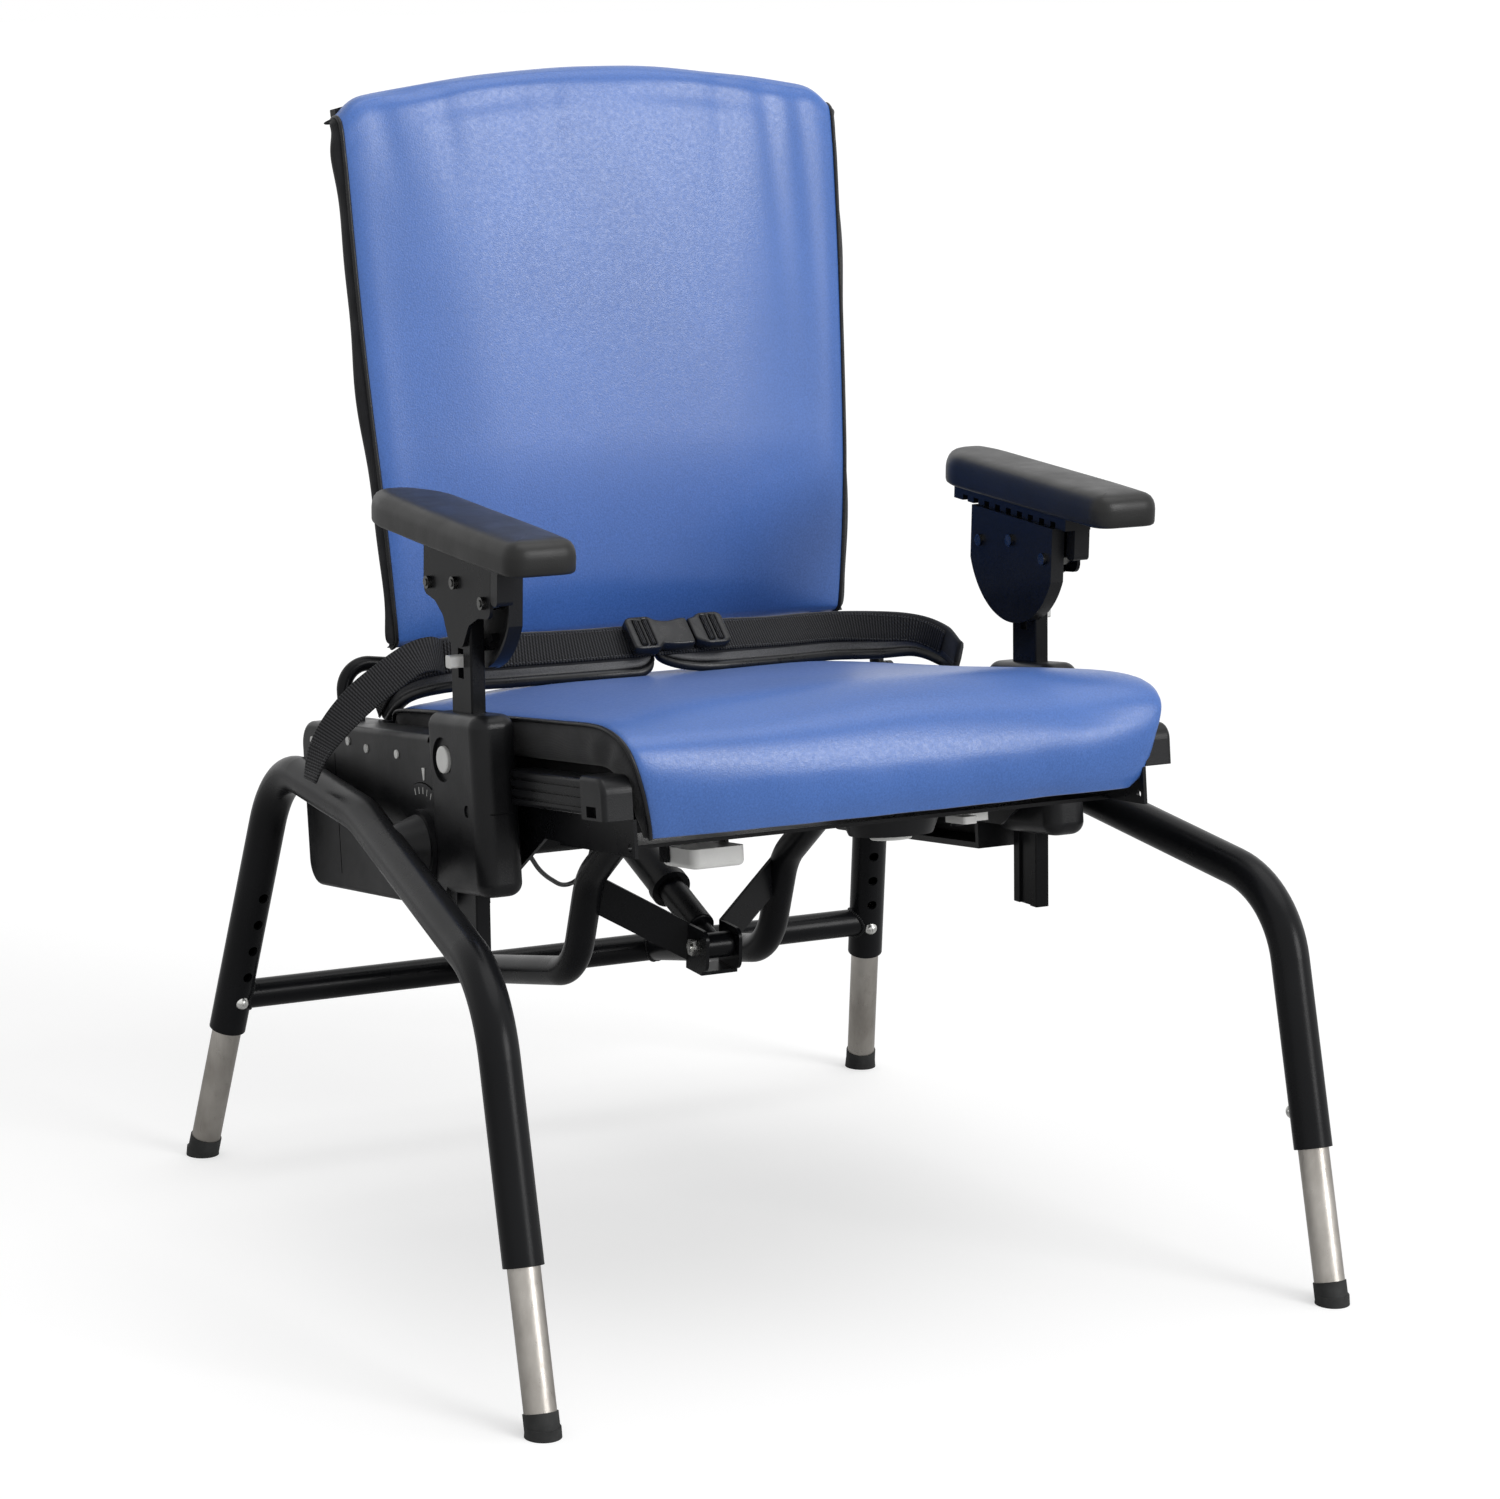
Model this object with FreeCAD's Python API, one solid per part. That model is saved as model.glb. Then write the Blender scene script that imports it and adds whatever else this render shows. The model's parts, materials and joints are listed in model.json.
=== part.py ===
import FreeCAD, Part
import math
import os

# Adjustable activity chair. Millimetres, +Z up, the sitter faces -Y, +X is the sitter's left.
# The seat unit (housings, rails, seat, back and arms) is drawn square about the tilt axle and then
# leaned back by SEAT_TILT. "Left" parts are drawn and "right" parts are their mirror images.

V = FreeCAD.Vector
os.makedirs("parts", exist_ok=True)

# Widths across the seat. The cushion sets its board, the side plates clear it at mid height, and the
# housings, posts, arms and legs follow outside them.
SEAT_HALF = 238.0
SEAT_NARROWS = 26.0
BOARD_INSET = 8.0
PLATE_CLEAR = 1.0
PLATE_T = 3.0
PAD_LOW = 71.0
PAD_TOP = 107.0
DROP_LOW = 17.0
RAIL_Z0 = 38.0
RAIL_Z1 = 66.0
CAP_RISE = 3.0
SEAT_CLEAR = 3.0
SLEEVE_W = 38.0
SHELL_STEP = 3.0
HUB_REACH = 26.0
SEAT_HALF_LOW = SEAT_HALF - SEAT_NARROWS
SEAT_FLARE = SEAT_NARROWS / (PAD_TOP - DROP_LOW)
BOARD_HALF = SEAT_HALF_LOW - BOARD_INSET
PLATE_X = SEAT_HALF - SEAT_NARROWS / 2.0 + PLATE_CLEAR
SLEEVE_X0 = SEAT_HALF + SEAT_CLEAR
SLEEVE_X1 = SLEEVE_X0 + SLEEVE_W
SHELL_X = SLEEVE_X1 - SHELL_STEP

# Leg tubing
TUBE_OD = 31.75
LEG_OD = 25.4
LEG_FIT = 0.05
LEG_WALL = 2.0
CROSS_OD = 25.4
CROSS_WALL = 2.0
HOLE_PITCH = 25.4
HOLE_D = 9.0
HOLE_COUNT = 5
FIRST_HOLE_UP = 31.0
LEG_INSERT = 45.0

# Stance
FOOT_Y = 376.8
FRONT_SPREAD = 52.0
REAR_SPREAD = 30.3
FRONT_LEAN = 0.300
REAR_LEAN = 0.227
REAR_SPLAY = 0.110
SLEEVE_END_Z = 121.5
KNEE_Z = 324.5
RUN_Z = 369.0
SHOULDER_Y = 88.0
SHOULDER = V(SHELL_X + HUB_REACH, SHOULDER_Y, RUN_Z - 0.5)
FRONT_FOOT_X = SHOULDER.x + FRONT_SPREAD
REAR_FOOT_X = SHOULDER.x + REAR_SPREAD
KNEE_R = 88.0
SHOULDER_R = 200.0
HIP_R = 70.0
CROSS_Z = 152.0
FOOT_R = 14.4
FOOT_RIM_H = 8.0
FOOT_COLLAR_R = 13.7
FOOT_COLLAR_H = 18.0
FOOT_SOLE = 6.0

# Tilt axle and the seat unit's lean
PIVOT = V(0.0, 18.3, 355.7)
SEAT_TILT = 8.8
AXLE_OD = 31.75
AXLE_ID = 26.0
AXLE_FIT = 0.05
DIAL_R = 51.0
DIAL_GAP = 0.75
HUB_R = 30.0
BEARING_R = 26.0

# Risers and gas spring
RISER_X = 93.0
RISER_LOW = (118.0, 205.5)
RISER_HIGH = (92.0, 293.5)
RISER_R = 55.0
SPRING_PIN = V(0.0, 40.0, 237.5)
SPRING_TOP = (215.0, -20.0)
SPRING_IN_R = 12.4
SPRING_BORE_R = 12.5
SPRING_OUT_R = 16.0
SPRING_COLLAR_AT = 88.0
SPRING_BODY_L = 102.0
PIN_R = 4.0
PIN_FIT = 0.05
EYE_HALF = 13.0
OPEN_EYE_R = 7.5

# Seat unit, measured from the axle
SHELL_REAR = 256.0
SHELL_FRONT = -16.0
SHELL_TOP = 90.5
SHELL_LOW = -50.0
SHELL_WALL = 4.0
SEAT_STEP_Z = 64.0
SLEEVE_FRONT = -118.0
SLEEVE_TOP = 110.0
SLEEVE_LOW = -35.0
SEAT_FRONT = -301.5
SEAT_REAR = 150.0
DROP_FRONT = -290.0
DROP_T = 24.0
BOARD_T = 12.0
RAIL_W = 22.0
RAIL_GROOVE_UP = 5.5
RAIL_GROOVE_PITCH = 7.5
RAIL_CAP_Y = -268.0
CAP_REAR_Y = -252.0
RAIL_END_Y = -291.0
GUIDE_REACH = 10.0
GUIDE_Z0 = 42.0
GUIDE_Z1 = 50.0
RUN_FIT = 0.5
BEAM_Y0 = 233.0

# Arm posts and arm rests
POST_IN = 18.7
POST_X = SLEEVE_X0 + POST_IN
POST_W = 12.7
POST_D = 38.1
POST_FIT = 0.2
POST_Y = -55.9
POST_LEAN = 5.03
POST_LOW = -98.0
POST_UP = 229.0
ARM_BOLT_UP = 214.7
BUTTON_Y = -49.7
BUTTON_Z = 72.7
BUTTON_R = 11.0
LATCH_UP = 152.0
ARM_FIT = 0.25
SHIELD_W = 12.1
SHIELD_X1 = POST_X - POST_W / 2.0 - ARM_FIT
SHIELD_X0 = SHIELD_X1 - SHIELD_W
TEE_X0 = POST_X + POST_W / 2.0 + ARM_FIT
TEE_T = 3.0
ARM_PAD_IN = 25.7
ARM_PAD_W = 65.0
ARM_PAD_X0 = POST_X - ARM_PAD_IN
ARM_PAD_X1 = ARM_PAD_X0 + ARM_PAD_W
ARM_PAD_REAR = 122.0
ARM_PAD_FRONT = -162.0
ARM_PAD_LOW = 32.0
ARM_PAD_H = 28.0
LEFT_PAD_BACK = 16.0

# Back
HINGE_Y = 198.0
HINGE_Z = 92.0
BACK_LEAN = 1.98
BACK_FRONT = 164.5
BACK_PAD_T = 24.0
BACK_SHELL_T = 18.0
BACK_LOW = 149.0
BACK_SHOULDER = 610.0
BACK_RISE = 28.0
BACK_HALF_LOW = 214.0
BACK_HALF_HIGH = 235.0
ROD_R = 6.35
ROD_IN_X = 195.0
ROD_LEVEL = 137.0
BARREL_R = 9.0
BARREL_W = 16.0
HINGE_IN = 27.0
BARREL_X0 = SHELL_X - HINGE_IN
BARREL_X1 = BARREL_X0 + BARREL_W
ROD_OUT_X = BARREL_X0 + BARREL_W / 2.0
EAR_T = 5.0

# Belt
PAD_BAND = 52.0
PAD_BAND_T = 7.0
WEB_W = 30.0
WEB_T = 2.0
WEB_GAP = 0.35
WEB_UP = 6.0
BELT_Y = 70.5
BELT_Z = 141.6
BELT_LEAN = 37.0
BUCKLE_X = -8.0
BUCKLE_HALF = 46.0
BUCKLE_HIGH = 36.0
BUCKLE_T = 11.0
BUCKLE_LEAN = 42.0
BUCKLE_GAP = 0.3
STRAP_STEPS = 4

shapes = {}


def save(name, shape):
    """Keep a finished piece and write its file."""
    if hasattr(shape, "Solids") and len(shape.Solids) == 1:
        shape = shape.Solids[0]
    shapes[name] = shape
    shape.exportStep("parts/%s.step" % name)
    note = "" if shape.isValid() else "  NOT VALID"
    print("%-24s solids %d  volume %.0f%s" % (name, len(shape.Solids), shape.Volume, note))


def other(shape):
    """Mirror image on the sitter's right."""
    return shape.mirror(V(0, 0, 0), V(1, 0, 0))


def both(name, shape):
    """Save a left piece and its mirror image."""
    save(name + "_left", shape)
    save(name + "_right", other(shape))


def seated(shape):
    """Place a piece drawn about the axle into the leaned seat unit."""
    copy = shape.copy()
    copy.translate(PIVOT)
    copy.rotate(PIVOT, V(1, 0, 0), -SEAT_TILT)
    return copy


def reclined(shape):
    """Lean a piece of the back about its hinge, then seat it."""
    copy = shape.copy()
    copy.rotate(V(0, HINGE_Y, HINGE_Z), V(1, 0, 0), -BACK_LEAN)
    return seated(copy)


def box(x0, x1, y0, y1, z0, z1):
    """Box between two corners."""
    return Part.makeBox(x1 - x0, y1 - y0, z1 - z0, V(x0, y0, z0))


def rod(x0, x1, y, z, r):
    """Cylinder along X."""
    return Part.makeCylinder(r, x1 - x0, V(x0, y, z), V(1, 0, 0))


def plate(outline, x0, x1):
    """Prism along X from (y, z) corners."""
    corners = [V(x0, y, z) for y, z in outline]
    face = Part.Face(Part.makePolygon(corners + [corners[0]]))
    return face.extrude(V(x1 - x0, 0, 0))


def soften(shape, radius, pick):
    """Fillet the edges that pick accepts."""
    edges = [e for e in shape.Edges if pick(e)]
    return shape.makeFillet(radius, edges)


def runs(edge, axis):
    """True for a straight edge along an axis, 0 for X, 1 for Y and 2 for Z."""
    if len(edge.Vertexes) != 2:
        return False
    d = edge.Vertexes[1].Point - edge.Vertexes[0].Point
    parts = [abs(d.x), abs(d.y), abs(d.z)]
    return parts[axis] > 0.999 * d.Length and d.Length > 0.01


def fuse(parts):
    """Join pieces into one clean solid."""
    whole = parts[0].fuse(parts[1:])
    return whole.removeSplitter()


def path(points, radii):
    """Wire of straight runs joined by tangent arcs."""
    edges = []
    start = points[0]
    for i in range(1, len(points) - 1):
        corner = points[i]
        a = (points[i - 1] - corner).normalize()
        b = (points[i + 1] - corner).normalize()
        half = (math.pi - a.getAngle(b)) / 2.0
        reach = radii[i - 1] * math.tan(half)
        bisector = (a + b).normalize()
        p1 = corner + a * reach
        p2 = corner + b * reach
        middle = corner + bisector * (radii[i - 1] / math.cos(half) - radii[i - 1])
        edges.append(Part.LineSegment(start, p1).toShape())
        edges.append(Part.Arc(p1, middle, p2).toShape())
        start = p2
    edges.append(Part.LineSegment(start, points[-1]).toShape())
    return Part.Wire(edges)


def pipe(points, radii, r):
    """Round bar along a bent path."""
    direction = points[1] - points[0]
    ring = Part.Wire([Part.makeCircle(r, points[0], direction)])
    if len(points) == 2:
        return Part.makeCylinder(r, direction.Length, points[0], direction)
    return path(points, radii).makePipeShell([ring], True, False)


def band(stations, width, thick):
    """Flat strap lofted through (centre, width direction, face direction) stations."""
    wires = []
    for centre, along, face in stations:
        u = V(along).normalize() * (width / 2.0)
        n = V(face).normalize() * (thick / 2.0)
        corners = [centre - u - n, centre + u - n, centre + u + n, centre - u + n]
        wires.append(Part.makePolygon(corners + [corners[0]]))
    return Part.makeLoft(wires, True, False)


def spline(points):
    """Smooth edge through points."""
    curve = Part.BSplineCurve()
    curve.interpolate(points)
    return curve.toShape()


# Leg axes of the left side
def front_at(z):
    return V(FRONT_FOOT_X, -FOOT_Y + FRONT_LEAN * z, z)


def rear_at(z):
    return V(REAR_FOOT_X - REAR_SPLAY * z, FOOT_Y - REAR_LEAN * z, z)


LEG_BORE_R = LEG_OD / 2.0 + LEG_FIT

# Side frame, one bent tube from front leg to rear leg
frame_points = [front_at(SLEEVE_END_Z), front_at(KNEE_Z), SHOULDER, rear_at(RUN_Z), rear_at(SLEEVE_END_Z)]
frame_radii = [KNEE_R, SHOULDER_R, HIP_R]
frame_bar = pipe(frame_points, frame_radii, TUBE_OD / 2.0)
frame_bore = pipe(frame_points, frame_radii, LEG_BORE_R)
side_frame = frame_bar.cut(frame_bore)

front_up = (front_at(KNEE_Z) - front_at(0)).normalize()
rear_up = (rear_at(RUN_Z) - rear_at(0)).normalize()
hole_side = {
    "front": V(-0.60, 0.80, 0.0),
    "rear": V(-0.2, -0.98, 0.0),
}
leg_axis = {"front": front_up, "rear": rear_up}
leg_end = {"front": front_at(SLEEVE_END_Z), "rear": rear_at(SLEEVE_END_Z)}
screws = []
for place in ("front", "rear"):
    up = leg_axis[place]
    facing = hole_side[place] - up * hole_side[place].dot(up)
    facing.normalize()
    for step in range(HOLE_COUNT):
        at = leg_end[place] + up * (FIRST_HOLE_UP + step * HOLE_PITCH)
        d = HOLE_D if step else 6.0
        side_frame = side_frame.cut(Part.makeCylinder(d / 2.0, TUBE_OD, at, facing))
    seat_of_screw = leg_end[place] + up * FIRST_HOLE_UP
    shank_base = seat_of_screw + facing * (LEG_BORE_R + 0.3)
    shank = Part.makeCylinder(3.0, TUBE_OD / 2.0 - LEG_BORE_R + 0.3, shank_base, facing)
    head = Part.makeSphere(6.2, seat_of_screw + facing * (TUBE_OD / 2.0 - 2.6))
    head = head.cut(Part.makeCylinder(TUBE_OD / 2.0, 40, seat_of_screw - up * 20, up))
    slot = Part.makeBox(1.4, 1.4, 14, V(-0.7, -0.7, -7))
    slot_base = seat_of_screw + facing * (TUBE_OD / 2.0 + 3.6)
    slot.Placement = FreeCAD.Placement(slot_base, FreeCAD.Rotation(V(0, 0, 1), up))
    screws.append(fuse([shank, head]).cut(slot))

# Rear cross tube between the rear legs
cross_end = rear_at(CROSS_Z)
cross_a = V(-cross_end.x, cross_end.y, cross_end.z)
cross_bar = pipe([cross_a, cross_end], [], CROSS_OD / 2.0)
cross_bore = pipe([cross_a, cross_end], [], CROSS_OD / 2.0 - CROSS_WALL)
cross_tube = cross_bar.cut(cross_bore).cut(frame_bar).cut(other(frame_bar))
cross_tube = max(cross_tube.Solids, key=lambda s: s.Volume)
save("rear_cross_tube", cross_tube)

# Tilt axle, hub and dial. The hub's cone is cut to lie on the side frame.
axle_half = SHELL_X + 7.0
axle = rod(-axle_half, axle_half, PIVOT.y, PIVOT.z, AXLE_OD / 2.0)
axle = axle.cut(rod(-axle_half, axle_half, PIVOT.y, PIVOT.z, AXLE_ID / 2.0))
save("tilt_axle", axle)
dial_x = SHELL_X - SHELL_WALL + 0.3
dial = rod(dial_x, SHELL_X + 1.0, PIVOT.y, PIVOT.z, DIAL_R)
collar = rod(SHELL_X + 1.0, axle_half, PIVOT.y, PIVOT.z, HUB_R)
cone = Part.makeCone(26.0, 17.0, 26.0, V(axle_half, PIVOT.y, PIVOT.z), V(1, 0, 0))
hub = fuse([dial, collar, cone]).cut(rod(dial_x - 1, axle_half, PIVOT.y, PIVOT.z, AXLE_OD / 2.0))
hub = max(hub.cut(frame_bar).Solids, key=lambda s: s.CenterOfMass.x < axle_half + 7.0 and s.Volume or 0)
for tick in range(-2, 3):
    angle = math.radians(tick * 10.0 - SEAT_TILT + 4.0)
    mark = box(SHELL_X + 0.4, SHELL_X + 2, -0.5, 0.5, DIAL_R - 9.0, DIAL_R - 3.0)
    mark.rotate(V(0, 0, 0), V(1, 0, 0), math.degrees(angle))
    mark.translate(PIVOT)
    hub = hub.cut(mark)
both("tilt_hub", hub)
both("side_frame", side_frame)

# Risers carry the spring bracket between the rear cross tube and the axle
riser_points = [
    V(RISER_X, cross_end.y, CROSS_Z),
    V(RISER_X, RISER_LOW[0], RISER_LOW[1]),
    V(RISER_X, RISER_HIGH[0], RISER_HIGH[1]),
    V(RISER_X, PIVOT.y, PIVOT.z),
]
riser_bar = pipe(riser_points, [RISER_R, RISER_R], CROSS_OD / 2.0)
riser = riser_bar.cut(pipe(riser_points, [RISER_R, RISER_R], CROSS_OD / 2.0 - CROSS_WALL))
axle_bar = rod(-axle_half, axle_half, PIVOT.y, PIVOT.z, AXLE_OD / 2.0)
riser = max(riser.cut(cross_bar).cut(axle_bar).Solids, key=lambda s: s.Volume)
save("risers", Part.makeCompound([riser, other(riser)]))

# Spring bracket: a V of plate with a clevis at its point
cheek_x = EYE_HALF + 1.0
cheek_y0 = SPRING_PIN.y - 17.0
cheek_y1 = SPRING_PIN.y + 20.0
pan_z = SPRING_PIN.z - 20.0
cheek = box(cheek_x, cheek_x + 3.0, cheek_y0, cheek_y1, pan_z, SPRING_PIN.z + 16.0)
cheek = soften(cheek, 9.0, lambda e: runs(e, 0) and e.CenterOfMass.y < SPRING_PIN.y)
arm_a = V(cheek_x + 1.0, cheek_y1 - 3.0, SPRING_PIN.z)
arm_b = V(RISER_X - 4.0, RISER_HIGH[0] + 5.0, SPRING_PIN.z + 42.0)
flat = V(arm_b.x - arm_a.x, arm_b.y - arm_a.y, 0)
side = V(-flat.y, flat.x, 0).normalize()
corners = [arm_a + V(0, 0, -17), arm_b + V(0, 0, -17), arm_b + V(0, 0, 17), arm_a + V(0, 0, 16)]
arm = Part.Face(Part.makePolygon(corners + [corners[0]])).extrude(side * 3.0)
arm = max(arm.cut(riser_bar).Solids, key=lambda s: s.Volume)
half_bracket = cheek.fuse(arm)
pan = box(-cheek_x - 3.0, cheek_x + 3.0, cheek_y0 + 8.0, cheek_y1, pan_z - 3.0, pan_z)
bracket = fuse([half_bracket, other(half_bracket), pan])
pin_hole = rod(-60, 60, SPRING_PIN.y, SPRING_PIN.z, PIN_R)
bracket = bracket.cut(pin_hole)
save("spring_bracket", bracket)
bolt = rod(-cheek_x - 11.0, cheek_x + 3.0, SPRING_PIN.y, SPRING_PIN.z, PIN_R)
nut_angles = [math.radians(60 * i) for i in range(7)]
nut = Part.makePolygon([V(0, 7.5 * math.cos(a), 7.5 * math.sin(a)) for a in nut_angles])
nut = Part.Face(nut).extrude(V(6.5, 0, 0))
nut.translate(V(-cheek_x - 9.5, SPRING_PIN.y, SPRING_PIN.z))
bolt_head = rod(cheek_x + 3.0, cheek_x + 8.0, SPRING_PIN.y, SPRING_PIN.z, 6.5)
spring_bolt = fuse([bolt, nut, bolt_head])
save("base_fasteners", Part.makeCompound(screws + [other(s) for s in screws] + [spring_bolt]))

# Gas spring, drawn along +Z from the clevis pin, then laid on its line
spring_top = seated(Part.Vertex(0, SPRING_TOP[0], SPRING_TOP[1])).Point
spring_line = spring_top - SPRING_PIN
spring_len = spring_line.Length


def along_spring(shape):
    copy = shape.copy()
    turn = math.degrees(math.atan2(spring_line.y, spring_line.z))
    copy.rotate(V(0, 0, 0), V(1, 0, 0), -turn)
    copy.translate(SPRING_PIN)
    return copy


eye = rod(-EYE_HALF, EYE_HALF, 0, 0, 11.0)
neck = Part.makeCylinder(8.0, 20.0, V(0, 0, 8))
body = Part.makeCylinder(SPRING_IN_R, SPRING_BODY_L, V(0, 0, 27))
body = soften(body, 2.0, lambda e: e.CenterOfMass.z < 28)
inner = fuse([eye, neck, body]).cut(rod(-20, 20, 0, 0, PIN_R + PIN_FIT))
save("gas_spring_body", along_spring(inner))
sheath = Part.makeCylinder(SPRING_OUT_R, spring_len - 20.0 - SPRING_COLLAR_AT, V(0, 0, SPRING_COLLAR_AT))
ring = Part.makeCylinder(SPRING_OUT_R + 1.8, 8.0, V(0, 0, SPRING_COLLAR_AT))
tail_neck = Part.makeCylinder(9.0, 16.0, V(0, 0, spring_len - 24.0))
tail_eye = Part.makeCylinder(12.5, 2 * EYE_HALF, V(-EYE_HALF, 0, spring_len), V(1, 0, 0))
outer = fuse([sheath, ring, tail_neck, tail_eye])
collar_bore_long = spring_len - 34.0 - SPRING_COLLAR_AT + 1.0
outer = outer.cut(Part.makeCylinder(SPRING_BORE_R, collar_bore_long, V(0, 0, SPRING_COLLAR_AT - 1.0)))
outer = outer.cut(Part.makeCylinder(OPEN_EYE_R, 60, V(-30, 0, spring_len), V(1, 0, 0)))
save("gas_spring_sheath", along_spring(outer))

# Telescoping legs and rubber feet
for place, foot_at, up in (("front", front_at(0), front_up), ("rear", rear_at(0), rear_up)):
    low = foot_at + up * (FOOT_SOLE / up.z)
    top = leg_end[place] + up * LEG_INSERT
    leg = pipe([low, top], [], LEG_OD / 2.0).cut(pipe([low, top], [], LEG_OD / 2.0 - LEG_WALL))
    both("leg_" + place, leg)
    rim = Part.makeCone(FOOT_R, FOOT_COLLAR_R, FOOT_RIM_H, V(foot_at.x, foot_at.y, 0))
    collar = pipe([foot_at - up * 8.0, foot_at + up * FOOT_COLLAR_H], [], FOOT_COLLAR_R)
    foot = fuse([rim, collar]).cut(box(-600, 600, -600, 600, -40, 0))
    foot = foot.cut(pipe([low, top], [], LEG_OD / 2.0))
    both("foot_" + place, max(foot.Solids, key=lambda s: s.Volume))

# Seat unit side plates with the guide bars the seat runs on
outline = [
    (RAIL_END_Y + 1.0, 5.0), (RAIL_END_Y + 1.0, 35.0), (RAIL_CAP_Y + 1.0, 35.0), (RAIL_CAP_Y + 1.0, 60.0),
    (SHELL_REAR, 60.0), (SHELL_REAR, -40.0), (110.0, -40.0), (60.0, -26.0), (-60.0, -26.0), (-129.0, 10.0),
]
side_plate = plate(outline, PLATE_X, PLATE_X + PLATE_T)
guide = box(PLATE_X - GUIDE_REACH, PLATE_X, RAIL_CAP_Y + 18.0, 150.0, GUIDE_Z0, GUIDE_Z1)
side_plate = fuse([side_plate, guide])
side_plate = side_plate.cut(rod(PLATE_X - 20, PLATE_X + 20, 0, 0, AXLE_OD / 2.0 + 0.6))
side_plate = side_plate.cut(rod(PLATE_X - 5, PLATE_X + 9, -282.0, 13.0, 3.2))
both("side_plate", seated(side_plate))

# Seat rails and their end caps
rail_x1 = PLATE_X + PLATE_T + RAIL_W
rail = box(PLATE_X + PLATE_T, rail_x1, CAP_REAR_Y, SLEEVE_FRONT, RAIL_Z0, RAIL_Z1)
rail = soften(rail, 3.0, lambda e: runs(e, 1) and e.CenterOfMass.x > rail_x1 - 1)
for step in range(3):
    groove = RAIL_Z0 + RAIL_GROOVE_UP + step * RAIL_GROOVE_PITCH
    rail = rail.cut(box(rail_x1 - 2.0, rail_x1 + 1, CAP_REAR_Y - 1, SLEEVE_FRONT + 1, groove, groove + 2.5))
save("seat_rails", Part.makeCompound([seated(rail), other(seated(rail))]))
cap_top = RAIL_Z1 + CAP_RISE
cap = box(PLATE_X + PLATE_T, rail_x1 + 3.0, RAIL_END_Y, CAP_REAR_Y, RAIL_Z0 - 2.5, cap_top)


def cap_front(edge):
    return runs(edge, 0) and edge.CenterOfMass.y < RAIL_END_Y + 1 and edge.CenterOfMass.z > cap_top - 1


def cap_outer(edge):
    return edge.CenterOfMass.x > rail_x1 + 2.0 and edge.CenterOfMass.z > RAIL_Z0 + 2 and not runs(edge, 2)


cap = soften(cap, 13.0, cap_front)
cap = soften(cap, 4.0, cap_outer)
cap_notch = box(rail_x1 - 3.0, rail_x1 + 9, CAP_REAR_Y - 26.0, CAP_REAR_Y - 9.0, RAIL_Z0 - 0.5, RAIL_Z0 + 8.0)
cap = cap.cut(cap_notch)
save("rail_caps", Part.makeCompound([seated(cap), other(seated(cap))]))

# Side housings: shell with a bearing for the axle, a dial recess and lugs for the back
shell = box(PLATE_X + PLATE_T, SHELL_X, SHELL_FRONT, SHELL_REAR, SHELL_LOW, SHELL_TOP)
shell = soften(shell, 22.0, lambda e: runs(e, 0) and e.CenterOfMass.y > SHELL_FRONT + 1)


def shell_rim(edge):
    return abs(edge.CenterOfMass.x - SHELL_X) < 0.6 and edge.CenterOfMass.y > SHELL_FRONT + 1


shell = soften(shell, 5.0, shell_rim)
pocket_x1 = SHELL_X - SHELL_WALL - 5.0
pocket = box(PLATE_X, pocket_x1, SHELL_FRONT + 5.0, 172.0, SHELL_LOW + 5.0, SHELL_TOP - 5.0)
bearing = rod(PLATE_X + PLATE_T, SHELL_X - SHELL_WALL, 0, 0, BEARING_R)
ear = rod(0, EAR_T, HINGE_Y, HINGE_Z, BARREL_R + 0.5)
ear = ear.fuse(box(0, EAR_T, HINGE_Y - BARREL_R - 0.5, HINGE_Y + BARREL_R + 0.5, SHELL_TOP - 8.0, HINGE_Z))
ear_in = ear.copy()
ear_in.translate(V(BARREL_X0 - 0.4 - EAR_T, 0, 0))
ear_out = ear.copy()
ear_out.translate(V(BARREL_X1 + 0.4, 0, 0))
hinge_pin = rod(BARREL_X0 - 4.0, BARREL_X1 + 4.0, HINGE_Y, HINGE_Z, PIN_R)
trough = rod(BARREL_X0 - 0.4, BARREL_X1 + 0.4, HINGE_Y, HINGE_Z, BARREL_R + 0.5)
shell = shell.cut(pocket).fuse(bearing)
shell = shell.cut(trough)
shell = fuse([shell, ear_in, ear_out, hinge_pin])
shell = shell.cut(rod(SHELL_X - SHELL_WALL, SHELL_X + 1, 0, 0, DIAL_R + DIAL_GAP))
shell = shell.cut(rod(PLATE_X, SHELL_X, 0, 0, AXLE_OD / 2.0 + AXLE_FIT))
shell = shell.cut(box(PLATE_X, SLEEVE_X0, SHELL_FRONT - 1, SEAT_REAR + 8.0, SEAT_STEP_Z, SHELL_TOP + 1))
shell = shell.cut(box(SHELL_X - 0.8, SHELL_X + 1, 181.0, 182.4, SHELL_LOW + 14.0, 66.0))
both("side_housing", seated(shell))

# White plugs and tilt pointer on the outer faces
plugs = []
for y, z in ((229.0, 74.5), (150.0, 77.8), (111.5, 73.5), (48.0, 72.0)):
    plugs.append(rod(SHELL_X, SHELL_X + 1.2, y, z, 3.6))
plugs.append(plate([(-7.5, 63.5), (-2.5, 63.5), (-4.5, 53.5), (-5.5, 53.5)], SHELL_X, SHELL_X + 0.8))
plugs = [seated(p) for p in plugs]
save("housing_marks", Part.makeCompound(plugs + [other(p) for p in plugs]))


# Arm posts slide in the sleeves
def posted(shape):
    copy = shape.copy()
    copy.rotate(V(0, 0, 0), V(1, 0, 0), POST_LEAN)
    copy.translate(V(0, POST_Y, 0))
    return seated(copy)


def unposted(shape):
    copy = shape.copy()
    copy.rotate(V(0, 0, 0), V(1, 0, 0), POST_LEAN)
    copy.translate(V(0, POST_Y, 0))
    return copy


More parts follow.
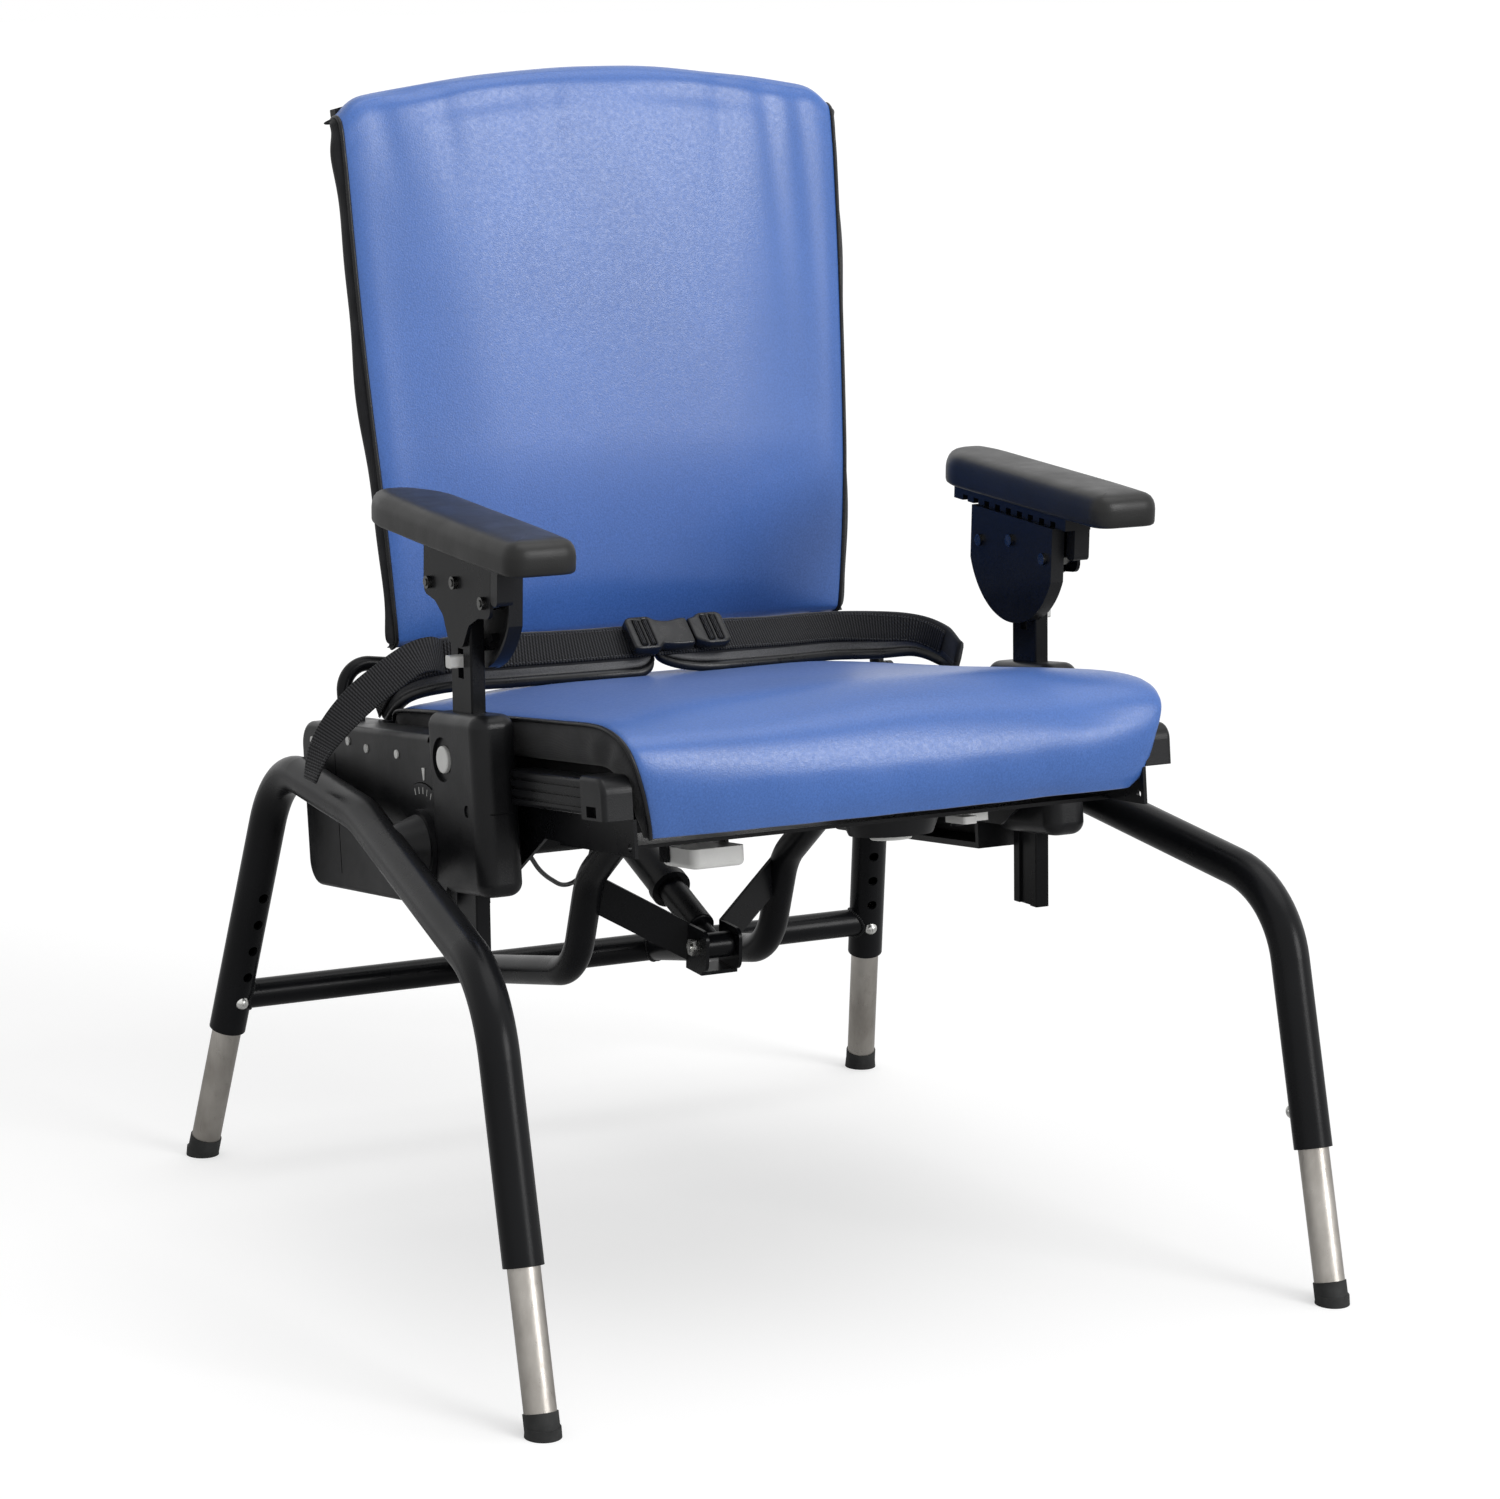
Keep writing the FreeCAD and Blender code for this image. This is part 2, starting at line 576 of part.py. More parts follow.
half_w = POST_W / 2.0
half_d = POST_D / 2.0
sleeve = box(SLEEVE_X0, SLEEVE_X1, SLEEVE_FRONT, SHELL_FRONT, SLEEVE_LOW, SLEEVE_TOP)
sleeve = soften(sleeve, 14.0, lambda e: runs(e, 2))


def sleeve_ends(edge):
    return edge.CenterOfMass.z > SLEEVE_TOP - 1 or edge.CenterOfMass.z < SLEEVE_LOW + 1


sleeve = soften(sleeve, 11.0, sleeve_ends)
sleeve = sleeve.cut(box(SLEEVE_X0 - 1, SHELL_X, SHELL_FRONT - 14, SHELL_FRONT, SLEEVE_LOW - 1, SHELL_TOP))
web = box(SLEEVE_X0, SHELL_X, SHELL_FRONT - 20, SHELL_FRONT, SLEEVE_LOW + 12, SHELL_TOP - 6)
sleeve = fuse([sleeve, web])
slot_w = half_w + POST_FIT
slot_d = half_d + POST_FIT
slot = box(POST_X - slot_w, POST_X + slot_w, -slot_d, slot_d, -200, 300)
sleeve = sleeve.cut(unposted(slot))
sleeve = sleeve.cut(rod(PLATE_X, SHELL_X - SHELL_WALL, 0, 0, BEARING_R + 0.2))
sleeve = sleeve.cut(rod(SHELL_X - SHELL_WALL, SHELL_X + 1.4, 0, 0, DIAL_R + DIAL_GAP))
sleeve = sleeve.cut(rod(SHELL_X, SLEEVE_X1 + 1, 0, 0, HUB_R + 1.0))
sleeve = sleeve.cut(rod(SLEEVE_X1 - 3.0, SLEEVE_X1 + 1, BUTTON_Y, BUTTON_Z, 18.0))
sleeve = sleeve.cut(rod(POST_X, SLEEVE_X1 + 1, BUTTON_Y, BUTTON_Z, BUTTON_R + 0.05))
sleeve = sleeve.cut(rod(SLEEVE_X1 - 1.5, SLEEVE_X1 + 1, -92.9, 33.7, 5.0))
sleeve = sleeve.cut(box(SLEEVE_X0 - 1, SLEEVE_X1 + 1, SLEEVE_FRONT - 1, SLEEVE_FRONT + 0.8, 31.0, 32.2))
sleeve = max(sleeve.Solids, key=lambda s: s.Volume)
both("arm_sleeve", seated(sleeve))
button = rod(POST_X + half_w + 5.0, SLEEVE_X1 + 0.5, BUTTON_Y, BUTTON_Z, BUTTON_R)
button = soften(button, 1.5, lambda e: e.CenterOfMass.x > SLEEVE_X1)
both("arm_button", seated(button))

post = box(POST_X - half_w, POST_X + half_w, -half_d, half_d, POST_LOW, POST_UP)
post = soften(post, 1.5, lambda e: runs(e, 2))
post = post.cut(box(POST_X - half_w - 1, POST_X - half_w + 2.0, -9.0, 9.0, POST_LOW - 1, 100.0))
post = post.cut(box(POST_X - 20, POST_X + 20, -5.2, 5.2, LATCH_UP - 14.0, LATCH_UP + 10.0))
post = post.cut(rod(POST_X - 20, POST_X + 20, 0, ARM_BOLT_UP, 3.0 + PIN_FIT))
both("arm_post", posted(post))
latch = box(POST_X - half_w - 5.0, POST_X + half_w + 11.0, -5.0, 5.0, LATCH_UP - 5.0, LATCH_UP + 5.0)
latch = soften(latch, 2.0, lambda e: runs(e, 0))
both("angle_latch", posted(latch))

# Arm rest head, level in the room, turning on the post's top bolt
bolt_at = posted(Part.Vertex(0, 0, ARM_BOLT_UP)).Point


def at_bolt(shape):
    copy = shape.copy()
    copy.translate(V(0, bolt_at.y, bolt_at.z))
    return copy


def shield_outline(grow, x):
    top = 20.0
    w = 66.0 + grow
    deep = 70.0 + grow
    edges = [
        Part.LineSegment(V(x, -w, -25.0), V(x, -w, top + grow)).toShape(),
        Part.LineSegment(V(x, -w, top + grow), V(x, w, top + grow)).toShape(),
        Part.LineSegment(V(x, w, top + grow), V(x, w, -25.0)).toShape(),
        Part.Arc(V(x, w, -25.0), V(x, 0, -deep), V(x, -w, -25.0)).toShape(),
    ]
    return Part.Face(Part.Wire(edges))


shield = shield_outline(0, SHIELD_X0).extrude(V(SHIELD_X1 - SHIELD_X0, 0, 0))
shield = shield.cut(shield_outline(-3.0, SHIELD_X0 + 3.0).extrude(V(40, 0, 0)))
open_mouth = box(SHIELD_X0 + 3.0, SHIELD_X1 + 1, -28, 28, -90, -45)
shield = shield.cut(open_mouth)
sector = Part.makeCylinder(52.0, SHIELD_X1 - SHIELD_X0 - 5.0, V(SHIELD_X0 + 2.0, 0, 0), V(1, 0, 0))
sector = sector.cut(Part.makeCylinder(46.0, 40, V(SHIELD_X0, 0, 0), V(1, 0, 0)))
sector = sector.common(plate([(0, 0), (-50.0, -70.0), (50.0, -70.0)], SHIELD_X0, SHIELD_X1))
teeth = []
for i in range(-4, 5):
    profile = [(-1.8, -50.0), (-0.7, -55.5), (0.7, -55.5), (1.8, -50.0)]
    tooth = plate(profile, SHIELD_X0 + 2.0, SHIELD_X1 - 3.0)
    tooth.rotate(V(0, 0, 0), V(1, 0, 0), i * 6.5)
    teeth.append(tooth)
rail_top = box(SHIELD_X0 + 4.0, TEE_X0 + TEE_T, -80.0, 103.0, 20.0, ARM_PAD_LOW)
for i in range(9):
    y = -64.0 + i * 18.0
    rail_top = rail_top.cut(box(SHIELD_X0, SHIELD_X0 + 9.0, y, y + 8.0, 15.0, 25.0))
carrier = fuse([shield, sector, rail_top] + teeth)
clamp = box(SHIELD_X1 + 2.0, TEE_X0 + TEE_T, -79.0, -66.5, -6.0, ARM_PAD_LOW)
clamp = soften(clamp, 4.0, lambda e: runs(e, 0) and e.CenterOfMass.z < 0)
carrier = fuse([carrier, clamp])
for y, z, r in ((50.0, -8.0, 3.0), (0.0, 0.0, 3.0), (-54.0, -7.0, 3.0)):
    carrier = carrier.cut(rod(SHIELD_X0 - 1, SHIELD_X1 + 1, y, z, r))
both("arm_carrier", at_bolt(carrier))

tee_corners = [
    (62.0, 20.0), (62.0, -18.0), (40.0, -21.0), (24.0, -30.0), (12.0, -50.0),
    (-14.0, -50.0), (-26.0, -30.0), (-44.0, -21.0), (-66.0, -18.0), (-66.0, 20.0),
]
tee = plate(tee_corners, TEE_X0, TEE_X0 + TEE_T)
tee = soften(tee, 8.0, lambda e: runs(e, 0) and e.CenterOfMass.z < 0)
for y, z in ((50.0, -8.0), (0.0, 0.0), (-54.0, -7.0)):
    tee = tee.cut(rod(TEE_X0 - 1, TEE_X0 + TEE_T + 1, y, z, 3.0))
both("arm_plate", at_bolt(tee))

bolts = []
for y, z in ((50.0, -8.0), (0.0, 0.0), (-54.0, -7.0)):
    parts = [rod(SHIELD_X0 - 3.0, TEE_X0 + TEE_T + 4.5, y, z, 3.0)]
    parts.append(rod(SHIELD_X0 - 3.0, SHIELD_X0, y, z, 5.0))
    parts.append(rod(TEE_X0 + TEE_T, TEE_X0 + TEE_T + 3.5, y, z, 5.2))
    if y:
        parts.append(rod(SHIELD_X1, TEE_X0, y, z, 6.0))
    bolts.append(at_bolt(fuse(parts)))
both("arm_bolts", Part.makeCompound(bolts))


# Arm pad: rounded slab with a cut-off inner rear corner
pad = box(ARM_PAD_X0, ARM_PAD_X1, ARM_PAD_FRONT, ARM_PAD_REAR, ARM_PAD_LOW, ARM_PAD_LOW + ARM_PAD_H)
corner = Part.makePolygon([
    V(ARM_PAD_X0 - 1, ARM_PAD_REAR + 1, 0), V(ARM_PAD_X0 + 22.0, ARM_PAD_REAR + 1, 0),
    V(ARM_PAD_X0 - 1, ARM_PAD_REAR - 34.0, 0), V(ARM_PAD_X0 - 1, ARM_PAD_REAR + 1, 0),
])
pad = pad.cut(Part.Face(corner).extrude(V(0, 0, 200)))
pad = soften(pad, 11.0, lambda e: runs(e, 2))
pad = soften(pad, 8.0, lambda e: e.CenterOfMass.z > ARM_PAD_LOW + ARM_PAD_H - 0.1)
pad = soften(pad, 4.0, lambda e: e.CenterOfMass.z < ARM_PAD_LOW + 0.1)
save("arm_pad_right", other(at_bolt(pad)))
pad.translate(V(0, LEFT_PAD_BACK, 0))
save("arm_pad_left", at_bolt(pad))

# Rear beam with the ears of the gas spring's upper pin
beam = box(-PLATE_X, PLATE_X, BEAM_Y0, SHELL_REAR - 1.0, -38.0, -6.0)
ear_y0 = SPRING_TOP[0] - 9.0
ear = box(EYE_HALF + 1.0, EYE_HALF + 5.0, ear_y0, BEAM_Y0, SPRING_TOP[1] - 10.0, SPRING_TOP[1] + 10.0)
ear = soften(ear, 8.0, lambda e: runs(e, 0) and e.CenterOfMass.y < ear_y0 + 1)
top_pin = rod(-EYE_HALF - 9.0, EYE_HALF + 9.0, SPRING_TOP[0], SPRING_TOP[1], PIN_R)
save("rear_beam", seated(fuse([beam, ear, other(ear), top_pin])))

# Front crossmember with the hinge rod of the tilt paddle
PADDLE_X0 = -138.0
PADDLE_X1 = -90.0
PADDLE_FRONT = -204.0
PADDLE_LOW = -19.0
PADDLE_HINGE = (-160.0, -9.0)
LOCK_X = 48.0
LOCK_Y = -190.0
LEVER_X = 106.0
LEVER_Y = -196.0
floor_z = 6.0
cross = box(-PLATE_X, PLATE_X, -235.0, -150.0, floor_z, floor_z + 3.0)
ears = []
for x in (PADDLE_X0 - 4.0, PADDLE_X1 + 1.0):
    y = PADDLE_HINGE[0]
    ears.append(box(x, x + 3.0, y - 6.0, y + 6.0, PADDLE_HINGE[1] - 6.0, floor_z))
hinge_rod = rod(PADDLE_X0 - 4.0, PADDLE_X1 + 4.0, PADDLE_HINGE[0], PADDLE_HINGE[1], 3.0)
lever_post = Part.makeCylinder(3.0, 16.0, V(LEVER_X, LEVER_Y, floor_z - 13.0))
lever_cap = Part.makeCylinder(5.0, 2.0, V(LEVER_X, LEVER_Y, floor_z - 13.0))
save("front_crossmember", seated(fuse([cross, hinge_rod, lever_post, lever_cap] + ears)))
paddle = box(PADDLE_X0, PADDLE_X1, PADDLE_FRONT, PADDLE_HINGE[0] + 8.0, PADDLE_LOW, floor_z - 9.0)
paddle = soften(paddle, 7.0, lambda e: runs(e, 2) and e.CenterOfMass.y < PADDLE_FRONT + 1)
paddle = soften(paddle, 4.5, lambda e: e.CenterOfMass.z < PADDLE_LOW + 0.1)
paddle = paddle.cut(rod(PADDLE_X0 - 1, PADDLE_X1 + 1, PADDLE_HINGE[0], PADDLE_HINGE[1], 3.0 + PIN_FIT))
save("tilt_paddle", seated(paddle))
lock = Part.makeCone(34.0, 40.0, 14.0, V(LOCK_X, LOCK_Y, floor_z - 14.0))
lock = lock.cut(Part.makeCylinder(17.05, 8.0, V(LOCK_X, LOCK_Y, floor_z - 14.0)))
save("lock_housing", seated(lock))
knob = Part.makeCylinder(17.0, 8.5, V(LOCK_X, LOCK_Y, floor_z - 18.5))
save("lock_button", seated(soften(knob, 1.5, lambda e: e.CenterOfMass.z < floor_z - 18)))
lever = box(LEVER_X - 7.0, LEVER_X + 26.0, LEVER_Y - 8.0, LEVER_Y + 8.0, floor_z - 10.0, floor_z - 1.0)
lever_arm = box(LEVER_X - 7.0, LEVER_X + 6.0, LEVER_Y - 24.0, LEVER_Y, floor_z - 10.0, floor_z - 4.0)
lever = fuse([lever, lever_arm])
lever = soften(lever, 3.0, lambda e: runs(e, 2))
lever = lever.cut(Part.makeCylinder(3.0 + PIN_FIT, 40.0, V(LEVER_X, LEVER_Y, floor_z - 30.0)))
save("depth_lever", seated(lever))

# Seat board with its runners
board = box(-BOARD_HALF, BOARD_HALF, -222.0, SEAT_REAR - 4.0, PAD_LOW - BOARD_T, PAD_LOW)
runner = box(BOARD_HALF - 6.0, PLATE_X - 4.0, -150.0, 120.0, 34.0, PAD_LOW - BOARD_T)
groove = box(
    PLATE_X - GUIDE_REACH - RUN_FIT, PLATE_X, -151.0, 121.0, GUIDE_Z0 - RUN_FIT, GUIDE_Z1 + RUN_FIT,
)
runner = runner.cut(groove)
save("seat_board", seated(fuse([board, runner, other(runner)])))


# Seat cushion with a waterfall front, lofted across its width and narrowing to the foot of the drop
def seat_section(u, crown, draw):
    def at(y, z):
        return V(u * (SEAT_HALF_LOW + SEAT_FLARE * (z - DROP_LOW)), y, z)

    top = PAD_TOP + crown
    outer_pts = [
        at(SEAT_REAR - draw, PAD_LOW), at(SEAT_REAR + 1.0 - draw, PAD_LOW + 16.0),
        at(SEAT_REAR - 14.0 - draw, top - 5.0), at(SEAT_REAR - 34.0, top - 1.6),
        at(SEAT_REAR - 75.0, top - 0.3),
        at(0.0, top),
        at(-120.0, top), at(-200.0, top + 0.4), at(SEAT_FRONT + 51.0, top - 0.8),
        at(SEAT_FRONT + 20.5 + draw, top - 8.0), at(SEAT_FRONT + 5.0 + draw, top - 22.0),
        at(SEAT_FRONT + draw, 62.0), at(SEAT_FRONT + 4.0 + draw, 40.0), at(DROP_FRONT + draw, DROP_LOW),
    ]
    inner_y = DROP_FRONT + DROP_T
    inner_pts = [
        at(inner_y, DROP_LOW), at(inner_y + 3.0, 42.0),
        at(inner_y + 17.0, 63.0), at(inner_y + 38.0, PAD_LOW),
    ]
    edges = [
        spline(outer_pts),
        Part.LineSegment(outer_pts[-1], inner_pts[0]).toShape(),
        spline(inner_pts),
        Part.LineSegment(inner_pts[-1], outer_pts[0]).toShape(),
    ]
    return Part.Wire(edges)


seat_stations = [(1.0, -7.0, 3.0), (0.96, -1.5, 0.0), (0.5, 4.0, 0.0), (0.0, 6.0, 0.0)]
sections = [seat_section(-x, c, d) for x, c, d in seat_stations]
sections += [seat_section(x, c, d) for x, c, d in reversed(seat_stations[:-1])]
save("seat_cushion", seated(Part.makeLoft(sections, True, False)))


# Back cushion, lofted across its width, wider at the shoulders than at the hips
def back_section(u, crown, draw):
    spread = (BACK_HALF_HIGH - BACK_HALF_LOW) / (BACK_SHOULDER - BACK_LOW)

    def at(y, z):
        return V(u * (BACK_HALF_LOW + spread * (z - BACK_LOW)), y, z)

    top = BACK_SHOULDER + BACK_RISE * (1.0 - u * u)
    rear = BACK_FRONT + BACK_PAD_T
    face = BACK_FRONT - crown
    pts = [
        at(rear, BACK_LOW + 2.0), at(face + 12.0, BACK_LOW), at(face + 2.0 + draw, BACK_LOW + 14.0),
        at(face + draw, BACK_LOW + 120.0), at(face + draw, top - 110.0), at(face + 3.0 + draw, top - 16.0),
        at(face + 13.0, top), at(rear, top - 1.0),
    ]
    return Part.Wire([spline(pts), Part.LineSegment(pts[-1], pts[0]).toShape()])


back_stations = [(1.0, -4.0, 3.0), (0.94, 1.0, 0.0), (0.68, 5.0, 0.0), (0.34, 8.0, 0.0), (0.0, 9.0, 0.0)]
sections = [back_section(-x, c, d) for x, c, d in back_stations]
sections += [back_section(x, c, d) for x, c, d in reversed(back_stations[:-1])]
save("back_cushion", reclined(Part.makeLoft(sections, True, False)))


def tapered(inset, y0, y1):
    low = BACK_HALF_LOW - inset
    high = BACK_HALF_HIGH - inset
    shoulder = BACK_SHOULDER - inset
    base = BACK_LOW + inset
    crown = V(0, y0, shoulder + BACK_RISE)
    crest = Part.Arc(V(high, y0, shoulder), crown, V(-high, y0, shoulder)).toShape()
    edges = [
        Part.LineSegment(V(-low, y0, base), V(low, y0, base)).toShape(),
        Part.LineSegment(V(low, y0, base), V(high, y0, shoulder)).toShape(),
        crest,
        Part.LineSegment(V(-high, y0, shoulder), V(-low, y0, base)).toShape(),
    ]
    return Part.Face(Part.Wire(edges)).extrude(V(0, y1 - y0, 0))


shell_front = BACK_FRONT + BACK_PAD_T
back_shell = tapered(5.0, shell_front, shell_front + BACK_SHELL_T)
back_shell = soften(back_shell, 8.0, lambda e: abs(e.CenterOfMass.y - shell_front - BACK_SHELL_T) < 0.5)
rod_hole = Part.makeCylinder(ROD_R, 140.0, V(ROD_IN_X, HINGE_Y, BACK_LOW - 10.0))
back_shell = back_shell.cut(rod_hole).cut(other(rod_hole))
save("back_shell", reclined(back_shell))
rod_points = [
    V(ROD_IN_X, HINGE_Y, BACK_LOW + 128.0), V(ROD_IN_X, HINGE_Y, ROD_LEVEL - 4.0),
    V(ROD_OUT_X, HINGE_Y, ROD_LEVEL + 4.0), V(ROD_OUT_X, HINGE_Y, HINGE_Z + 6.0),
]
back_rod = pipe(rod_points, [20.0, 22.0], ROD_R)
barrel = rod(BARREL_X0, BARREL_X1, HINGE_Y, HINGE_Z, BARREL_R)
hinge_bore = rod(BARREL_X0 - 1, BARREL_X1 + 1, HINGE_Y, HINGE_Z, PIN_R + PIN_FIT)
back_rod = fuse([back_rod, barrel]).cut(hinge_bore)
both("back_rod", reclined(back_rod))

# Release cable from the side plate round to the spring's upper ears
cable_points = [
    V(-PLATE_X + 0.3, 38.0, 6.0), V(-196.0, 44.0, -4.0), V(-161.6, 55.3, -19.2), V(-123.0, 114.0, -46.0),
    V(-80.5, 160.0, -66.0), V(-42.0, 196.0, -60.0),
    V(-EYE_HALF - 6.5, SPRING_TOP[0] + 6.0, SPRING_TOP[1] - 6.0),
]
cable_radii = []
for i in range(1, len(cable_points) - 1):
    a = cable_points[i - 1] - cable_points[i]
    b = cable_points[i + 1] - cable_points[i]
    half = (math.pi - a.getAngle(b)) / 2.0
    cable_radii.append(0.45 * min(a.Length, b.Length) / math.tan(half))
save("release_cable", seated(pipe(cable_points, cable_radii, 2.0)))

# Hip belt: padded wings that lean back, webbing on their faces, side-release buckle and a loose tail.
# Each station is centre, width and lean in degrees, from the sitter's right to the left.
right_line = [
    (V(0.8 - PLATE_X, 192.0, 97.0), PAD_BAND - 18.0, 0.0),
    (V(3.5 - PLATE_X, 152.0, 126.0), PAD_BAND - 10.0, 6.0),
    (V(30.0 - PLATE_X, 121.0, 138.2), PAD_BAND - 4.0, 22.0),
    (V(-150.0, 95.0, BELT_Z), PAD_BAND, BELT_LEAN - 2.0),
    (V(-100.0, 78.0, BELT_Z), PAD_BAND, BELT_LEAN),
    (V(BUCKLE_X - BUCKLE_HALF - 4.0, BELT_Y + 1.5, BELT_Z), PAD_BAND, BELT_LEAN),
    (V(BUCKLE_X - 23.0, BELT_Y, BELT_Z), PAD_BAND, BELT_LEAN),
]
left_line = [
    (V(BUCKLE_X - 19.0, BELT_Y, BELT_Z), PAD_BAND, BELT_LEAN),
    (V(BUCKLE_X + 13.0, BELT_Y, BELT_Z), PAD_BAND, BELT_LEAN),
    (V(BUCKLE_X + BUCKLE_HALF + 4.0, BELT_Y + 1.5, BELT_Z), PAD_BAND, BELT_LEAN),
    (V(95.0, 79.0, BELT_Z - 1.0), PAD_BAND - 2.0, BELT_LEAN),
    (V(148.0, 90.0, BELT_Z - 1.5), PAD_BAND - 3.0, BELT_LEAN - 2.0),
    (V(SLEEVE_X0 - 47.0, 87.0, BELT_Z - 4.0), PAD_BAND - 8.0, 22.0),
    (V(SLEEVE_X0 - 14.0, 72.0, BELT_Z - 8.0), PAD_BAND - 15.0, 6.0),
    (V(SLEEVE_X0 + 1.0, 50.0, BELT_Z - 19.5), PAD_BAND - 16.0, 0.0),
    (V(SLEEVE_X0 + 2.0, 28.0, SHELL_TOP + PAD_BAND / 2.0 - 6.5), PAD_BAND - 17.0, 0.0),
]


def between(a, b, c, d, t):
    """Smooth step from b to c, with a and d as the neighbours."""
    slope_b = (c - a) * 0.5
    slope_c = (d - b) * 0.5
    rise = (b - c) * 2.0 + slope_b + slope_c
    bend = (c - b) * 3.0 - slope_b * 2.0 - slope_c
    return b + slope_b * t + bend * (t * t) + rise * (t * t * t)


def strap(line):
    """Stations of a smooth strap, each centre, width direction, face direction and width."""
    full = []
    for i in range(len(line) - 1):
        ring = [line[max(i - 1, 0)], line[i], line[i + 1], line[min(i + 2, len(line) - 1)]]
        for step in range(STRAP_STEPS):
            t = step / STRAP_STEPS
            full.append([between(*values, t) for values in zip(*ring)])
    full.append(list(line[-1]))
    stations = []
    for i, (centre, width, lean) in enumerate(full):
        along = (full[min(i + 1, len(full) - 1)][0] - full[max(i - 1, 0)][0]).normalize()
        u = V(0, math.sin(math.radians(lean)), math.cos(math.radians(lean)))
        face = along.cross(u).normalize()
        stations.append((centre, face.cross(along).normalize(), face, width))
    return stations


def wing(stations, full_width, up, thick, offset):
    """Band on a strap's stations; up moves it across the strap and offset lifts it off the middle."""
    wires = []
    for centre, u, face, width in stations:
        share = width / PAD_BAND
        mid = centre + face * offset + u * (up * share)
        half = u * (full_width * share / 2.0)
        h = face * (thick / 2.0)
        corners = [mid - half - h, mid + half - h, mid + half + h, mid - half + h]
        wires.append(Part.makePolygon(corners + [corners[0]]))
    return Part.makeLoft(wires, True, True)


right_strap = strap(right_line)
left_strap = strap(left_line)
wings = [seated(wing(stations, PAD_BAND, 0.0, PAD_BAND_T, 0.0)) for stations in (right_strap, left_strap)]
save("belt_pads", Part.makeCompound(wings))
web_lift = (PAD_BAND_T + WEB_T) / 2.0 + WEB_GAP
webs = [
    wing(right_strap, WEB_W, WEB_UP, WEB_T, web_lift),
    wing(left_strap[:-STRAP_STEPS], WEB_W, WEB_UP, WEB_T, web_lift),
]

# The buckle lies on the webbing, drawn about its middle with its face to -Y
half_z = BUCKLE_HIGH / 2.0
half_t = BUCKLE_T / 2.0
belt_up = V(0, math.sin(math.radians(BELT_LEAN)), math.cos(math.radians(BELT_LEAN)))
belt_face = V(1, 0, 0).cross(belt_up)
tip = math.radians(BUCKLE_LEAN - BELT_LEAN)
buckle_lift = web_lift + WEB_T / 2.0 + BUCKLE_GAP + half_t + half_z * math.sin(tip)
buckle_at = V(BUCKLE_X, BELT_Y, BELT_Z) + belt_up * WEB_UP + belt_face * buckle_lift


def buckled(shape):
    copy = shape.copy()
    copy.rotate(V(0, 0, 0), V(1, 0, 0), -BUCKLE_LEAN)
    copy.translate(buckle_at)
    return seated(copy)


socket = box(-BUCKLE_HALF, 12.0, -half_t, half_t, -half_z, half_z)
socket = soften(socket, 4.0, lambda e: runs(e, 1))
for s in (-1.0, 1.0):
    socket = socket.cut(box(-22.0, 2.0, -half_t - 1, half_t + 1, s * half_z - 4.5, s * half_z + 4.5))
socket = socket.cut(box(-30.0, 13.0, -3.0, 2.5, -11.0, 11.0))
save("buckle_socket", buckled(socket))
plug = box(12.0, BUCKLE_HALF, -half_t + 0.5, half_t, -half_z + 1.0, half_z - 1.0)
plug = soften(plug, 4.0, lambda e: runs(e, 1))
plug = plug.cut(box(30.0, 36.0, -half_t - 1, half_t + 1, -half_z + 5.0, half_z - 5.0))
tongue = box(-20.0, 14.0, -2.2, 1.7, -8.5, 8.5)
save("buckle_plug", buckled(fuse([plug, tongue])))

# The tail leaves the right wing's webbing, crosses the housing and hangs outside it
tail_centre, tail_up, tail_face, tail_width = right_strap[2 * STRAP_STEPS]
tail_lift = web_lift + WEB_T + BUCKLE_GAP
tail_line = [
    (tail_centre + tail_up * (WEB_UP * tail_width / PAD_BAND) + tail_face * tail_lift, tail_up, tail_face),
    (V(14.0 - PLATE_X, 111.0, 147.0), V(0.0, 0.35, 0.94), V(0.1, -0.93, 0.3)),
    (V(-6.0 - PLATE_X, 109.0, 144.0), V(0.0, 0.8, 0.6), V(-0.2, -0.6, 0.8)),
    (V(18.0 - SHELL_X, 111.0, 131.0), V(0.0, 1.0, 0.2), V(-0.5, -0.2, 0.9)),
    (V(-9.0 - SHELL_X, 115.0, 114.0), V(0.0, 1.0, 0.1), V(-0.6, -0.1, 0.8)),
    (V(-30.0 - SHELL_X, 119.0, 94.0), V(0.0, 1.0, 0.0), V(-0.8, 0.0, 0.55)),
    (V(-42.0 - SHELL_X, 123.0, 72.0), V(0.0, 1.0, 0.0), V(-0.95, 0.0, 0.3)),
    (V(-46.0 - SHELL_X, 126.0, 50.0), V(0.0, 1.0, 0.0), V(-1.0, 0.0, 0.1)),
]
tail = band(tail_line, WEB_W, WEB_T)
save("belt_webbing", Part.makeCompound([seated(w) for w in webs + [tail]]))

total = Part.makeCompound(list(shapes.values()))
b = total.BoundBox
print("bounds x %.1f %.1f  y %.1f %.1f  z %.1f %.1f" % (b.XMin, b.XMax, b.YMin, b.YMax, b.ZMin, b.ZMax))
print("pieces", len(shapes))
print("spring length", spring_len, "top", spring_top, "arm bolt", bolt_at)
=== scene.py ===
# %% [markdown]
# # An adjustable activity chair
# This lesson dresses a chair whose rigid parts already exist as a CAD model. The model is loaded as a
# fixed frame: every tube, plate and lever is in place, in metres, and belongs to a moving body.
# Blender adds what CAD leaves plain: upholstery, webbing, finishes, welds and the dial's scale.

# %% Load the frame
import bpy, bmesh, json, math
from mathutils import Matrix, Vector


